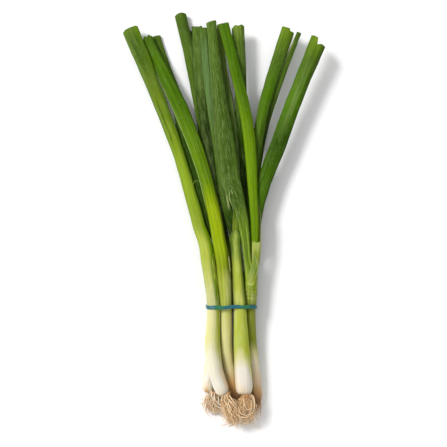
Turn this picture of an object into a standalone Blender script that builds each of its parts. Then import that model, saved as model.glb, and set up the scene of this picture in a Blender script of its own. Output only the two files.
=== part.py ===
"""A bunch of spring onions held by one rubber band, lying on a table.

Six onions lie side by side in two layers, roots together and leaves fanned out. Each onion is a
stem (its bulb and white sheath), a tuft of roots, and hollow leaves cut off square at their tips.
The pieces are laid down one after another, and each settles onto those already there.

Frame: metres, +Y from the roots towards the leaf tips, +X to the right seen from above, +Z up,
and the table at z = 0.
"""
import math

import bmesh
import bpy
import numpy as np
from mathutils import Matrix

# Driving dimensions, in millimetres
MM = 0.001
CLEARANCE = 0.45         # air between pieces that lie against each other
LEAF_WALL = 0.8          # a leaf is a tube with this wall
THIN_WALL = 0.45         # but never more than this share of its half thickness
BORE_START = 0.4         # how far along its length a leaf's hollow begins
SWELL_LENGTH = 35.0      # a leaf leaves its stem flat and is full by this length
BULB_END = 6.0           # a bulb rounds off to its root plate over this length
ROOT_PLATE = 0.45        # the root plate's width as a share of the bulb's there
BAND_Y = -64.0           # where the rubber band crosses the stems
BAND_WIDTH = 3.0
BAND_THICKNESS = 1.2

# How finely the pieces are laid and meshed
LAY_STEP = 2.0           # spacing of the points at which a piece is laid
LAY_SPOTS = 13           # spots looked at across a piece, edge to edge
STIFFNESS = {"stem": 90, "leaf": 90, "roots": 2}   # smoothing passes: how far a bend spreads
REACH = {"stem": 4, "leaf": 4, "roots": 2}         # points over which a lift is eased in
RING_STEP = {"stem": 10.0, "leaf": 15.0, "roots": 4.5}
RING_SIDES = {"stem": 12, "leaf": 10, "roots": 8}
BULB_RINGS = (1.2, 3.0, 6.0)                       # extra rings where the bulb rounds off
BAND_RINGS = 44
OUTLINE_SPOTS = 24       # spots round each stem that the band is stretched over
SHARP_ANGLE = math.radians(50)

# The band's section: across its width, and outwards, as shares of its width and thickness
BAND_SECTION = [(-0.5, 0.12), (-0.36, 0.0), (0.36, 0.0), (0.5, 0.12), (0.5, 0.7), (0.3, 1.0),
                (-0.3, 1.0), (-0.5, 0.7)]

# What a piece is made of: base colour, roughness
FINISHES = {
    "stem": ((0.86, 0.85, 0.62), 0.35),
    "leaf": ((0.16, 0.26, 0.04), 0.45),
    "roots": ((0.68, 0.43, 0.20), 0.80),
    "band": ((0.05, 0.22, 0.27), 0.55),
}

# Every piece in the order it is laid down, lowest first. A route's points are (x, y, z, width) in
# millimetres, from the root end towards the leaf tips. z is the height that the middle of the piece
# would hold by itself: it ends up higher where something lies beneath. Thickness is across the
# piece, at its start and once it is full, as a share of the width there.
STEM = {"kind": "stem", "thickness": (1.0, 1.0)}
ROOTS = {"kind": "roots", "thickness": (0.75, 0.6)}
LEAF = {"kind": "leaf", "thickness": (0.36, 0.5)}

PIECES = [
    dict(STEM, name="onion_a_stem", route=[
        (-11.5, -130, 5, 9.5), (-11, -120, 5, 10), (-6, -95, 5, 9), (2.5, -64, 6, 8.5),
        (5, -32, 6.5, 8.5)]),
    dict(ROOTS, name="onion_a_roots", route=[
        (-11.5, -132, 5, 5.5), (-8, -137, 4.5, 14), (-6, -144, 3.5, 6)]),
    dict(STEM, name="onion_f_stem", route=[
        (16.5, -130.5, 3.5, 7), (15.5, -98, 3.5, 7), (14, -64, 5.5, 7.5), (21.5, -32, 6.5, 8.5)]),
    dict(ROOTS, name="onion_f_roots", route=[
        (16.5, -132.5, 3, 4), (18, -141, 3, 6.5), (22.5, -152, 2.5, 7.5), (28, -159, 2, 3.5)]),
    dict(LEAF, name="onion_a_leaf_under", route=[
        (4.5, -30, 3.5, 5.5), (-5, 17, 2.5, 7.5), (-16, 81, 1.5, 6), (-25.5, 145, 1, 3.5)]),
    dict(LEAF, name="onion_a_leaf_long", route=[
        (4.5, -30, 6.5, 7), (-6, 12, 5, 9), (-15, 73, 4, 9), (-25.8, 129, 4, 9), (-32.8, 158, 4.5, 8.5)]),
    dict(LEAF, name="onion_f_leaf_middle", route=[
        (21.5, -30, 3.5, 5.5), (17, 20, 8, 7.5), (13.5, 70, 10, 8.5), (13, 108, 12, 9), (11, 148, 14, 9.3)]),
    dict(LEAF, name="onion_f_leaf_thin", route=[
        (25, -30, 6, 2), (26, 38, 8.5, 4.5), (32, 71, 9.5, 4.5), (48.5, 121, 11.5, 4.8),
        (57.5, 142.5, 12, 3)]),
    dict(LEAF, name="onion_f_leaf_right", route=[
        (21, -30, 6.5, 5), (22, 24, 10, 7), (29.8, 82, 11, 8.5), (49.3, 145.5, 13, 10.3)]),
    dict(STEM, name="onion_c_stem", route=[
        (10.3, -136, 5, 7.5), (7.3, -123, 5, 10), (3, -99, 7.5, 9), (2, -64, 12.5, 9),
        (0.8, -45, 13.2, 10.5), (0, -36, 13.5, 10.3)]),
    dict(ROOTS, name="onion_c_roots", route=[
        (10.5, -138, 4.5, 5), (8.5, -145, 3.5, 8), (4, -154, 2.5, 3)]),
    dict(STEM, name="onion_e_stem", route=[
        (26.3, -138, 4.5, 6), (25.2, -126, 4.5, 8.2), (22, -99, 7.5, 8), (20.5, -64, 13, 8),
        (21, -47.5, 14, 9)]),
    dict(ROOTS, name="onion_e_roots", route=[
        (26.5, -140, 4.5, 3.5), (26.5, -143.5, 4, 5), (25.5, -149, 3.5, 3)]),
    dict(STEM, name="onion_b_stem", route=[
        (0.8, -130.5, 13, 10.5), (-3, -120.5, 14, 11.2), (-5.5, -113, 14, 11.3), (-7.5, -101, 14, 12),
        (-7.2, -64, 14, 9.2), (-12, -24, 13, 10.5)]),
    dict(STEM, name="onion_d_stem", route=[
        (16, -130.5, 14.5, 12.5), (15.5, -120, 15, 13), (14, -98, 14.5, 12), (12.6, -64, 13.5, 9.2),
        (9.5, -20, 12.5, 7.5)]),
    dict(ROOTS, name="onion_d_roots", route=[
        (16, -132.5, 16, 7), (18, -141, 13, 11), (18, -153.5, 9, 4)]),
    dict(ROOTS, name="onion_b_roots", route=[
        (1.5, -132.5, 15, 6), (6.5, -141, 11, 11), (10, -152, 8.5, 7)]),
    dict(LEAF, name="onion_b_leaf_under", route=[
        (-10, -22, 10.5, 7.5), (-15, 12, 7.5, 9), (-28.5, 60, 5, 9.5), (-35, 92, 3.5, 9.5),
        (-45, 119, 2.5, 8.5), (-51, 141, 1.5, 5.5)]),
    dict(LEAF, name="onion_c_leaf_under", route=[
        (0.5, -34, 11.5, 7), (-4, 5, 7.5, 8.5), (-11, 58, 5.5, 9), (-18, 111, 4.5, 9),
        (-20, 148, 4.5, 7.5)]),
    dict(LEAF, name="onion_d_leaf_left", route=[
        (8.5, -18, 10.5, 5), (3, 10, 8.5, 7), (-5, 65, 6, 7.5), (-12, 111, 5, 6.5), (-15, 146, 5, 6)]),
    dict(LEAF, name="onion_d_leaf_right", route=[
        (10, -18, 12.5, 5.5), (10, 27, 8, 6.5), (6, 77, 10, 7.5), (-1, 122, 8, 6), (-2.5, 149, 7, 4.5)]),
    dict(LEAF, name="onion_d_leaf_short", closed=True, route=[
        (9, -18, 14.5, 7.8), (9, -12, 14.5, 7.2), (9.5, -5.5, 14, 4.5)]),
    dict(LEAF, name="onion_c_leaf_top", route=[
        (-0.3, -34, 15, 10.2), (-4.5, -6, 12.5, 10), (-16.1, 43, 9, 10.2), (-28.6, 77, 7, 11.3),
        (-59, 140, 5, 9.2)]),
    dict(LEAF, name="onion_b_leaf_top", route=[
        (-13, -22, 15, 9.5), (-20.5, 5, 12, 9.5), (-31, 43, 9, 8.7), (-53, 103, 5.5, 10.7),
        (-70.5, 146, 5, 12.5)]),
    dict(LEAF, name="onion_f_leaf_far_right", route=[
        (22.5, -30, 9, 6.3), (26.7, 16, 12, 10.2), (40, 54, 14.5, 12), (57, 100, 17.5, 11.6),
        (72.5, 137.5, 19.5, 13)]),
    dict(LEAF, name="onion_e_leaf_wide", thickness=(0.4, 0.36), route=[
        (19.5, -46, 12, 6), (17, -14, 12.5, 6.5), (13, 10, 12, 9.5), (6.5, 27, 11.5, 14),
        (2, 54, 11, 14.5), (-4.5, 106, 10.5, 9.5), (-9, 151, 10, 7)]),
    dict(LEAF, name="onion_e_leaf_bright", route=[
        (22.5, -46, 15, 6), (25, -15, 16.5, 6.5), (22.5, 24, 17, 8), (18, 75, 17, 9), (8.5, 116, 17, 8),
        (0, 149, 18, 8)]),
]


def smooth_route(points, step):
    """Points every `step` along a smooth curve through a route's own points, Catmull-Rom by length."""
    points = np.array(points, float)
    knots = np.concatenate([[0.0], np.cumsum(np.linalg.norm(np.diff(points[:, :2], axis=0), axis=1))])
    slopes = np.gradient(points, knots, axis=0)
    count = max(3, int(math.ceil(knots[-1] / step)) + 1)
    lengths = np.linspace(0.0, knots[-1], count)
    span = np.clip(np.searchsorted(knots, lengths, side="right") - 1, 0, len(knots) - 2)
    width = (knots[span + 1] - knots[span])[:, None]
    t = ((lengths - knots[span])[:, None]) / width
    here, there = points[span], points[span + 1]
    curve = ((2 * t**3 - 3 * t**2 + 1) * here + (t**3 - 2 * t**2 + t) * width * slopes[span]
             + (3 * t**2 - 2 * t**3) * there + (t**3 - t**2) * width * slopes[span + 1])
    return lengths, curve


def sideways(curve):
    """Unit vectors square to the run of a route, seen from above."""
    along = np.gradient(curve[:, :2], axis=0)
    along /= np.linalg.norm(along, axis=1)[:, None]
    return along, np.stack([along[:, 1], -along[:, 0]], axis=1)


def half_thickness(piece, lengths, half_width):
    start, full = piece["thickness"]
    swell = np.clip(lengths / SWELL_LENGTH, 0.0, 1.0)
    swell = swell * swell * (3 - 2 * swell)
    return half_width * (start + (full - start) * swell)


def round_off(lengths):
    """How full a bulb is near its root end: a quarter ellipse up from the root plate."""
    short_of_full = np.clip(1.0 - lengths / BULB_END, 0.0, 1.0)
    return ROOT_PLATE + (1.0 - ROOT_PLATE) * np.sqrt(1.0 - short_of_full**2)


def height_beneath(spots, laid):
    """The highest surface, clearance included, that the laid pieces have under each (x, y) spot."""
    highest = np.full(len(spots), -1.0)
    for other in laid:
        offset = spots[:, None, :] - other["curve"][None, :, :2]
        nearest = np.argmin((offset**2).sum(axis=2), axis=1)
        offset = offset[np.arange(len(spots)), nearest]
        beyond = np.abs((offset * other["along"][nearest]).sum(axis=1))
        across = np.abs((offset * other["side"][nearest]).sum(axis=1))
        share = across / (other["half_width"][nearest] + CLEARANCE)
        at_end = (nearest == 0) | (nearest == len(other["curve"]) - 1)
        over = (share < 1.0) & (beyond < np.where(at_end, CLEARANCE, LAY_STEP))
        arch = np.sqrt(np.clip(1.0 - share**2, 0.0, 1.0))
        top = other["curve"][nearest, 2] + (other["half_thickness"][nearest] + CLEARANCE) * arch
        highest = np.where(over, np.maximum(highest, top), highest)
    return highest


def spread(values, reach):
    """Each value becomes the highest within reach, so that a lift starts before the obstacle."""
    padded = np.pad(values, reach, mode="edge")
    return np.max([padded[i:i + len(values)] for i in range(2 * reach + 1)], axis=0)


def relax(values, passes):
    values = values.copy()
    for _ in range(passes):
        ends = np.pad(values, 1, mode="edge")
        values = 0.5 * values + 0.25 * (ends[:-2] + ends[2:])
    return values


def lay(piece, laid):
    """Find the height of a piece all along its route, from its own bend and from what is beneath."""
    lengths, curve = smooth_route(piece["route"], LAY_STEP)
    along, side = sideways(curve)
    half_width = curve[:, 3] / 2
    if piece["kind"] == "stem":
        half_width = half_width * round_off(lengths)
    thick = half_thickness(piece, lengths, half_width)
    needed = thick.copy()
    crossing_band = np.abs(curve[:, 1] - BAND_Y) < BAND_WIDTH
    needed[crossing_band] += BAND_THICKNESS + CLEARANCE
    for share in np.linspace(-1.0, 1.0, LAY_SPOTS):
        spots = curve[:, :2] + side * (half_width * share)[:, None]
        beneath = height_beneath(spots, laid)
        lifted = beneath + thick * math.sqrt(1.0 - share * share)
        needed = np.where(beneath > 0, np.maximum(needed, lifted), needed)
    reach = REACH[piece["kind"]]
    eased = np.maximum(relax(spread(needed, reach), reach), needed)
    height = np.maximum(curve[:, 2], eased)
    for _ in range(STIFFNESS[piece["kind"]]):
        height = np.maximum(relax(height, 1), eased)
    curve[:, 2] = height
    laid.append({"piece": piece, "lengths": lengths, "curve": curve, "along": along, "side": side,
                 "half_width": half_width, "half_thickness": thick})


def ring(bm, centre, side, half_width, half_thick, sides):
    loop = []
    for i in range(sides):
        angle = 2 * math.pi * i / sides - math.pi / 2
        across = half_width * math.cos(angle)
        up = half_thick * math.sin(angle)
        loop.append(bm.verts.new((
            (centre[0] + side[0] * across) * MM,
            (centre[1] + side[1] * across) * MM,
            (centre[2] + up) * MM)))
    return loop


def skin(bm, loops):
    for low, high in zip(loops, loops[1:]):
        for i in range(len(low)):
            j = (i + 1) % len(low)
            bm.faces.new((low[i], low[j], high[j], high[i]))


def finished_mesh(name, bm):
    """Turn the faces outwards, smooth them but for the real edges, and hand over the mesh."""
    bmesh.ops.recalc_face_normals(bm, faces=bm.faces)
    mesh = bpy.data.meshes.new(name)
    bm.to_mesh(mesh)
    bm.free()
    mesh.shade_smooth()
    mesh.set_sharp_from_angle(angle=SHARP_ANGLE)
    return mesh


def tube_mesh(name, laid_piece):
    """A closed solid along the laid route: plain at both ends, or hollow and open at a leaf's tip."""
    piece = laid_piece["piece"]
    kind = piece["kind"]
    lengths, curve = laid_piece["lengths"], laid_piece["curve"]
    count = max(4, int(round(lengths[-1] / RING_STEP[kind])) + 1)
    stations = np.linspace(0.0, lengths[-1], count)
    if kind == "stem":
        stations = np.unique(np.concatenate([stations, BULB_RINGS]))

    def at(values):
        return np.interp(stations, lengths, values)

    centres = np.stack([at(curve[:, k]) for k in range(3)], axis=1)
    sides = np.stack([at(laid_piece["side"][:, k]) for k in range(2)], axis=1)
    half_width, half_thick = at(laid_piece["half_width"]), at(laid_piece["half_thickness"])
    bm = bmesh.new()
    outer = [ring(bm, centres[i], sides[i], half_width[i], half_thick[i], RING_SIDES[kind])
             for i in range(len(stations))]
    skin(bm, outer)
    bm.faces.new(list(reversed(outer[0])))
    if kind == "leaf" and not piece.get("closed"):
        first = int(math.ceil(BORE_START * (len(stations) - 1)))
        inner = [ring(bm, centres[i], sides[i], half_width[i] - LEAF_WALL,
                      half_thick[i] - min(LEAF_WALL, THIN_WALL * half_thick[i]), RING_SIDES[kind])
                 for i in range(first, len(stations))]
        skin(bm, [outer[-1], inner[-1]])
        skin(bm, list(reversed(inner)))
        bm.faces.new(inner[0])
    else:
        bm.faces.new(outer[-1])
    return finished_mesh(name, bm)


def convex_outline(points):
    """The corners of the tightest outline round some (x, z) points, anticlockwise."""
    points = sorted(map(tuple, points))

    def half(ordered):
        chain = []
        for p in ordered:
            while len(chain) > 1 and ((chain[-1][0] - chain[-2][0]) * (p[1] - chain[-2][1])
                                      - (chain[-1][1] - chain[-2][1]) * (p[0] - chain[-2][0])) <= 0:
                chain.pop()
            chain.append(p)
        return chain[:-1]

    return np.array(half(points) + half(points[::-1]))


def band_mesh(name, laid):
    """The rubber band: a flat strip stretched round the outline of the stems that it holds."""
    section = []
    for item in laid:
        if item["piece"]["kind"] != "stem":
            continue
        for y in (BAND_Y - BAND_WIDTH / 2, BAND_Y, BAND_Y + BAND_WIDTH / 2):
            x, z, radius = [np.interp(y, item["curve"][:, 1], values)
                            for values in (item["curve"][:, 0], item["curve"][:, 2], item["half_width"])]
            for angle in np.linspace(0, 2 * math.pi, OUTLINE_SPOTS, endpoint=False):
                reach = radius + CLEARANCE
                height = max(z + reach * math.sin(angle), BAND_THICKNESS)
                section.append((x + reach * math.cos(angle), height))
    outline = convex_outline(section)
    closed = np.vstack([outline, outline[:1]])
    lengths = np.concatenate([[0.0], np.cumsum(np.linalg.norm(np.diff(closed, axis=0), axis=1))])
    walk = np.linspace(0.0, lengths[-1], BAND_RINGS, endpoint=False)
    path = np.stack([np.interp(walk, lengths, closed[:, k]) for k in range(2)], axis=1)
    run = np.roll(path, -1, axis=0) - np.roll(path, 1, axis=0)
    run /= np.linalg.norm(run, axis=1)[:, None]
    outward = np.stack([run[:, 1], -run[:, 0]], axis=1)
    bm = bmesh.new()
    loops = []
    for (x, z), (ox, oz) in zip(path, outward):
        loops.append([bm.verts.new(((x + ox * out * BAND_THICKNESS) * MM,
                                    (BAND_Y + across * BAND_WIDTH) * MM,
                                    (z + oz * out * BAND_THICKNESS) * MM)) for across, out in BAND_SECTION])
    skin(bm, loops + loops[:1])
    return finished_mesh(name, bm)


def finish_material(kind):
    colour, roughness = FINISHES[kind]
    material = bpy.data.materials.new("onion_" + kind)
    material.use_nodes = True
    shader = material.node_tree.nodes["Principled BSDF"]
    shader.inputs["Base Color"].default_value = (*colour, 1.0)
    shader.inputs["Roughness"].default_value = roughness
    shader.inputs["Metallic"].default_value = 0.0
    return material


def add_object(name, mesh, kind):
    obj = bpy.data.objects.new(name, mesh)
    bpy.context.scene.collection.objects.link(obj)
    mesh.materials.append(finish_material(kind))
    return obj


def centre_on_origin(objects):
    """Shift the whole bunch so that the origin is the middle of its footprint, on the table."""
    corners = np.array([v.co[:] for obj in objects for v in obj.data.vertices])
    middle = (corners.min(axis=0) + corners.max(axis=0)) / 2
    for obj in objects:
        obj.data.transform(Matrix.Translation((-middle[0], -middle[1], -corners[:, 2].min())))


def main():
    for obj in list(bpy.data.objects):
        bpy.data.objects.remove(obj, do_unlink=True)
    laid = []
    for piece in PIECES:
        lay(piece, laid)
    objects = [add_object(item["piece"]["name"], tube_mesh(item["piece"]["name"], item),
                          item["piece"]["kind"]) for item in laid]
    objects.append(add_object("rubber_band", band_mesh("rubber_band", laid), "band"))
    centre_on_origin(objects)


main()
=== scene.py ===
import math

import bmesh
import bpy
import numpy as np
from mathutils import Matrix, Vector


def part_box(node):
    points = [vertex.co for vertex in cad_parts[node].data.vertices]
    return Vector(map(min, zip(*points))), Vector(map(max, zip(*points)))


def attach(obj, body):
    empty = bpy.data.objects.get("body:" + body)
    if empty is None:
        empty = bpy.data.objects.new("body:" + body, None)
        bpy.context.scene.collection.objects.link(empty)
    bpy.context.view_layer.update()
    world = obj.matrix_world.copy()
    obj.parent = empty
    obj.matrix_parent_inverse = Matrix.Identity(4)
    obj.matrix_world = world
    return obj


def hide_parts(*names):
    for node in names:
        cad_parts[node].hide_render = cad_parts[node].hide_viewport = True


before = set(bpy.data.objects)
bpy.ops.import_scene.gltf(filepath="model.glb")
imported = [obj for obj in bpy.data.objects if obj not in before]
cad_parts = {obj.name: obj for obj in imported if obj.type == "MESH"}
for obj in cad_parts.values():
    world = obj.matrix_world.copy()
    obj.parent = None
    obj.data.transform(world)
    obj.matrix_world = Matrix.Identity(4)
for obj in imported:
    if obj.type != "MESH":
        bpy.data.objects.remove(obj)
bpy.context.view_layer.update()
mm = 0.001
print("frame loaded:", len(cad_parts), "nodes")


# camera, light and floor
paintStrength = 0.8          # the studio is bright, so every paint is a little darker than it shows


def shade(red, green, blue):
    # a paint-chart colour, 0 to 255, as light values
    values = []
    for part in (red, green, blue):
        part = part / 255
        light = part / 12.92 if part <= 0.04045 else ((part + 0.055) / 1.055) ** 2.4
        values.append(light * paintStrength)
    return (*values, 1.0)


shades = {
    "tipGreen": shade(132, 158, 50),         # freshly cut leaf ends
    "limeGreen": shade(150, 176, 34),
    "brightLime": shade(168, 190, 0),        # where leaves leave the neck
    "freshGreen": shade(118, 148, 22),
    "grassGreen": shade(82, 124, 0),
    "vividGreen": shade(114, 150, 0),
    "leafGreen": shade(84, 114, 26),
    "deepGreen": shade(50, 82, 0),
    "mossGreen": shade(76, 104, 28),         # dull, dusty blades
    "blueGreen": shade(100, 132, 74),        # waxy blades
    # painted shadow: the green of leaves where they lie in shade under others
    "paintedShadowGreen": shade(42, 62, 12),
    # the dusty wax bloom and flecks, and also painted sheen and highlights along some leaves
    "dustAndSheenGreen": shade(138, 160, 92),
    # painted highlight along the thin rim of a leaf
    "rimHighlightGreen": shade(196, 208, 136),       # the thin rim of a leaf
    "oliveGreen": shade(132, 142, 14),
    "stubGreen": shade(122, 144, 52),
    "neckGreen": shade(156, 170, 34),
    "sheathLime": shade(186, 196, 74),       # rolled sheaths, pale to white
    # painted light: the bright green of light coming through a stem's right side
    "paintedGlowLime": shade(176, 190, 30),
    "strawGreen": shade(208, 210, 116),
    "strawPale": shade(224, 220, 156),
    "collarPale": shade(186, 200, 96),
    "bulbIvory": shade(238, 234, 204),
    "bulbWhite": shade(243, 236, 224),
    "bulbCream": shade(240, 224, 198),
    "skinBuff": shade(226, 206, 158),
    "warmStraw": shade(232, 222, 150),
    "skinPeach": shade(236, 204, 166),
    "dryTan": shade(216, 168, 104),          # dry skin and roots
    "rootBrown": shade(150, 96, 38),
    "rootAmber": shade(218, 162, 98),
    "rootSand": shade(255, 226, 184),
    "rootPale": shade(255, 246, 226),
    "soilBrown": shade(104, 66, 30),
    "bandTeal": shade(10, 98, 112),
    "bandGreen": shade(16, 116, 78),
    "bandDustAndGlints": shade(150, 198, 200),
}
studio = {
    "fieldWidth": 340 * mm,          # what the camera takes in at the floor
    "cameraHeight": 1200 * mm,
    "aimLeft": 6.0 * mm,             # the view's middle, left of the band's own
    "aimUp": 62.5 * mm,              # and up the bunch from it
    "floorHalf": 3.0,
    "floorShade": 0.9,
    "keyStrength": 2.5,
    "keySoftness": 17,               # degrees across
    "keyTurn": 143,                  # degrees round from +X, where the light comes from
    "keyHeight": 46,                 # degrees above the floor
    "fillBright": 0.9,               # the studio on the key's side
    "fillDim": 0.46,                 # and on the far side
    "fillLevel": 0.9,                # the way to the bright side: how much of it is level
    "fillRise": 0.44,                # and how much is upward
    "fillRange": (-0.7, 0.9),        # along that way, where the dim side ends and the bright one starts
}


def makeStudio():
    camera = bpy.data.cameras.new("camera")
    camera.sensor_width = 36
    camera.lens = 36 * studio["cameraHeight"] / studio["fieldWidth"]
    camera.clip_start = 0.01
    camera.clip_end = 20
    stand = bpy.data.objects.new("camera", camera)
    bpy.context.collection.objects.link(stand)
    low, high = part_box("rubber_band")
    middle = [(low[i] + high[i]) / 2 for i in range(2)]
    stand.location = (middle[0] - studio["aimLeft"], middle[1] + studio["aimUp"], studio["cameraHeight"])
    bpy.context.scene.camera = stand

    half = studio["floorHalf"]
    mesh = bpy.data.meshes.new("floor")
    corners = [(-half, -half, 0), (half, -half, 0), (half, half, 0), (-half, half, 0)]
    mesh.from_pydata(corners, [], [(0, 1, 2, 3)])
    floor = bpy.data.objects.new("floor", mesh)
    bpy.context.collection.objects.link(floor)
    material = bpy.data.materials.new("white_table")
    material.use_nodes = True
    surface = material.node_tree.nodes["Principled BSDF"]
    surface.inputs["Base Color"].default_value = (*[studio["floorShade"]] * 3, 1)
    surface.inputs["Roughness"].default_value = 0.9
    surface.inputs["Specular IOR Level"].default_value = 0.1
    mesh.materials.append(material)

    key = bpy.data.lights.new("key", "SUN")
    key.energy = studio["keyStrength"]
    key.angle = math.radians(studio["keySoftness"])
    lamp = bpy.data.objects.new("key", key)
    bpy.context.collection.objects.link(lamp)
    lamp.rotation_euler = (0, math.radians(90 - studio["keyHeight"]), math.radians(studio["keyTurn"]))

    world = bpy.data.worlds.new("studio")
    world.use_nodes = True
    nodes, links = world.node_tree.nodes, world.node_tree.links
    backdrop = nodes["Background"]
    backdrop.inputs["Color"].default_value = (1, 1, 1, 1)
    turn = math.radians(studio["keyTurn"])
    toKey = nodes.new("ShaderNodeVectorMath")
    toKey.operation = "DOT_PRODUCT"
    level = studio["fillLevel"]
    toKey.inputs[1].default_value = (math.cos(turn) * level, math.sin(turn) * level, studio["fillRise"])
    links.new(nodes.new("ShaderNodeTexCoord").outputs["Generated"], toKey.inputs[0])
    fill = nodes.new("ShaderNodeMapRange")
    fill.inputs["From Min"].default_value, fill.inputs["From Max"].default_value = studio["fillRange"]
    fill.inputs["To Min"].default_value = studio["fillDim"]
    fill.inputs["To Max"].default_value = studio["fillBright"]
    links.new(toKey.outputs["Value"], fill.inputs["Value"])
    path = nodes.new("ShaderNodeLightPath")
    strength = nodes.new("ShaderNodeMix")
    strength.inputs["B"].default_value = 1.0
    links.new(path.outputs["Is Camera Ray"], strength.inputs["Factor"])
    links.new(fill.outputs["Result"], strength.inputs["A"])
    links.new(strength.outputs["Result"], backdrop.inputs["Strength"])
    bpy.context.scene.world = world
    bpy.context.scene.view_settings.view_transform = "Standard"


makeStudio()
print("studio ready")


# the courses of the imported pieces: where each one runs and how thick it is there
def nodeTriangles(node):
    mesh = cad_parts[node].data
    corners = np.empty(len(mesh.vertices) * 3)
    mesh.vertices.foreach_get("co", corners)
    picks = np.empty(len(mesh.loop_triangles) * 3, dtype=np.int32)
    mesh.loop_triangles.foreach_get("vertices", picks)
    return corners.reshape(-1, 3)[picks].reshape(-1, 3, 3)


def cutAcross(triangles, origin, forward):
    heights = (triangles - origin) @ forward
    found = []
    for i in range(3):
        j = (i + 1) % 3
        crossing = heights[:, i] * heights[:, j] < 0
        share = heights[crossing, i] / (heights[crossing, i] - heights[crossing, j])
        start = triangles[crossing, i]
        found.append(start + share[:, None] * (triangles[crossing, j] - start))
    return np.concatenate(found)


def steady(values, rounds):
    values = values.copy()
    for _ in range(rounds):
        values[1:-1] = (values[:-2] + 2 * values[1:-1] + values[2:]) / 4
    return values


def unit(directions):
    return directions / np.linalg.norm(directions, axis=1)[:, None]


def distanceAlong(line):
    steps = np.linalg.norm(np.diff(line, axis=0), axis=1)
    return np.concatenate([[0], np.cumsum(steps)])


def readAt(wanted, known, spots):
    # the spots that lie at these wanted values, between those at the known values
    return np.stack([np.interp(wanted, known, spots[:, i]) for i in range(3)], axis=1)


def evenly(line, count):
    distance = distanceAlong(line)
    return readAt(np.linspace(0, distance[-1], count), distance, line)


def readPairs(wanted, pairs):
    # a value given at a few places, read in between
    return np.interp(wanted, [place for place, _ in pairs], [value for _, value in pairs])


stations = 80                # places at which a course is read
cuts = 30                    # rough cuts across a piece, to find its course
endInset = 5 * mm            # the outermost ones, in from the piece's ends
endGap = 0.15 * mm           # a course stops this far inside its piece's end
widest = 25 * mm             # nothing further from the course belongs to the piece's own cut
squareEnd = 3                # stations at a cut end that its slant spoils
flatSides = math.cos(math.pi / 10)       # a packed leaf has ten flat sides, so it measures narrow


def carryOn(values):
    # the stations at the first end follow straight on from those after them
    step = (values[squareEnd] - values[squareEnd + 4]) / 4
    for i in range(squareEnd):
        values[i] = values[squareEnd] + step * (squareEnd - i)


def readCourse(node):
    leafy = "_leaf_" in node
    triangles = nodeTriangles(node)
    corners = triangles.reshape(-1, 3)
    low, high = corners[:, 1].min(), corners[:, 1].max()
    inset = min(endInset, (high - low) * 0.2)
    middles = []
    for y in np.linspace(low + inset, high - inset, cuts):
        cut = cutAcross(triangles, np.array([0, y, 0]), np.array([0.0, 1.0, 0.0]))
        middles.append((cut.min(axis=0) + cut.max(axis=0)) / 2)
    line = steady(np.array(middles), 2)
    ends = []
    for here, before in ((line[0], line[1]), (line[-1], line[-2])):
        outward = (here - before) / np.linalg.norm(here - before)
        reach = ((corners - here) @ outward).max() - endGap
        ends.append(here + outward * reach)
    line = evenly(np.concatenate([ends[:1], line, ends[1:]]), stations)
    forward = np.gradient(line, axis=0)
    forward[:, 2] = 0
    forward = unit(forward)
    side = np.stack([forward[:, 1], -forward[:, 0], np.zeros(stations)], axis=1)
    halfWidth, halfHeight = np.zeros(stations), np.zeros(stations)
    for i in range(stations):
        cut = cutAcross(triangles, line[i], forward[i])
        cut = cut[np.linalg.norm(cut - line[i], axis=1) < widest]
        if len(cut) < 3:
            continue
        across = (cut - line[i]) @ side[i]
        halfWidth[i] = (across.max() - across.min()) / 2
        halfHeight[i] = (cut[:, 2].max() - cut[:, 2].min()) / 2
        line[i] += side[i] * (across.max() + across.min()) / 2
        line[i, 2] = (cut[:, 2].max() + cut[:, 2].min()) / 2
    if "_roots" not in node:
        carryOn(line[::-1])
        halfWidth[-squareEnd:] = halfWidth[-squareEnd - 1]
        halfHeight[-squareEnd:] = halfHeight[-squareEnd - 1]
    if leafy:
        carryOn(line)
        halfWidth[:squareEnd] = halfWidth[squareEnd]
        halfHeight[:squareEnd] = halfHeight[squareEnd]
        halfWidth /= flatSides
    distance = distanceAlong(line)
    return {
        "spots": line,
        "side": side,
        "halfWidth": halfWidth,
        "halfHeight": halfHeight,
        "distance": distance,
        "length": distance[-1],
    }


def alongCourse(course, wanted):
    # the course at these distances; past an end it runs straight on
    found = {}
    for key in ("spots", "side"):
        found[key] = readAt(wanted, course["distance"], course[key])
    for key in ("halfWidth", "halfHeight"):
        found[key] = np.interp(wanted, course["distance"], course[key])
    first = course["spots"][3] - course["spots"][0]
    last = course["spots"][-1] - course["spots"][-4]
    before = np.minimum(wanted, 0)
    after = np.maximum(wanted - course["length"], 0)
    found["spots"] += before[:, None] * first / np.linalg.norm(first)
    found["spots"] += after[:, None] * last / np.linalg.norm(last)
    return found


courses = {node: readCourse(node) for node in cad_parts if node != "rubber_band"}
print("courses read:", len(courses))


def addNode(tree, kind, inputs=None, **options):
    # an input is a plain value or another node's output
    node = tree.nodes.new(kind)
    for key, value in options.items():
        setattr(node, key, value)
    for key, value in (inputs or {}).items():
        if isinstance(value, bpy.types.NodeSocket):
            tree.links.new(value, node.inputs[key])
        else:
            node.inputs[key].default_value = value
    return node


def maths(tree, operation, *values):
    return addNode(tree, "ShaderNodeMath", dict(enumerate(values)), operation=operation).outputs[0]


def times(tree, first, second):
    return maths(tree, "MULTIPLY", first, second)


def plus(tree, first, second):
    return maths(tree, "ADD", first, second)


def minus(tree, first, second):
    return maths(tree, "SUBTRACT", first, second)


def vectors(tree, operation, *values):
    inputs = dict(enumerate(values))
    if operation == "SCALE":
        inputs["Scale"] = inputs.pop(1)
    node = addNode(tree, "ShaderNodeVectorMath", inputs, operation=operation)
    return node.outputs["Value" if operation == "DISTANCE" else "Vector"]


def joinXyz(tree, x, y, z):
    return addNode(tree, "ShaderNodeCombineXYZ", {0: x, 1: y, 2: z}).outputs[0]


def cloud(tree, place, detail):
    inputs = {"Vector": place, "Scale": 1.0, "Detail": detail}
    return addNode(tree, "ShaderNodeTexNoise", inputs).outputs


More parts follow.
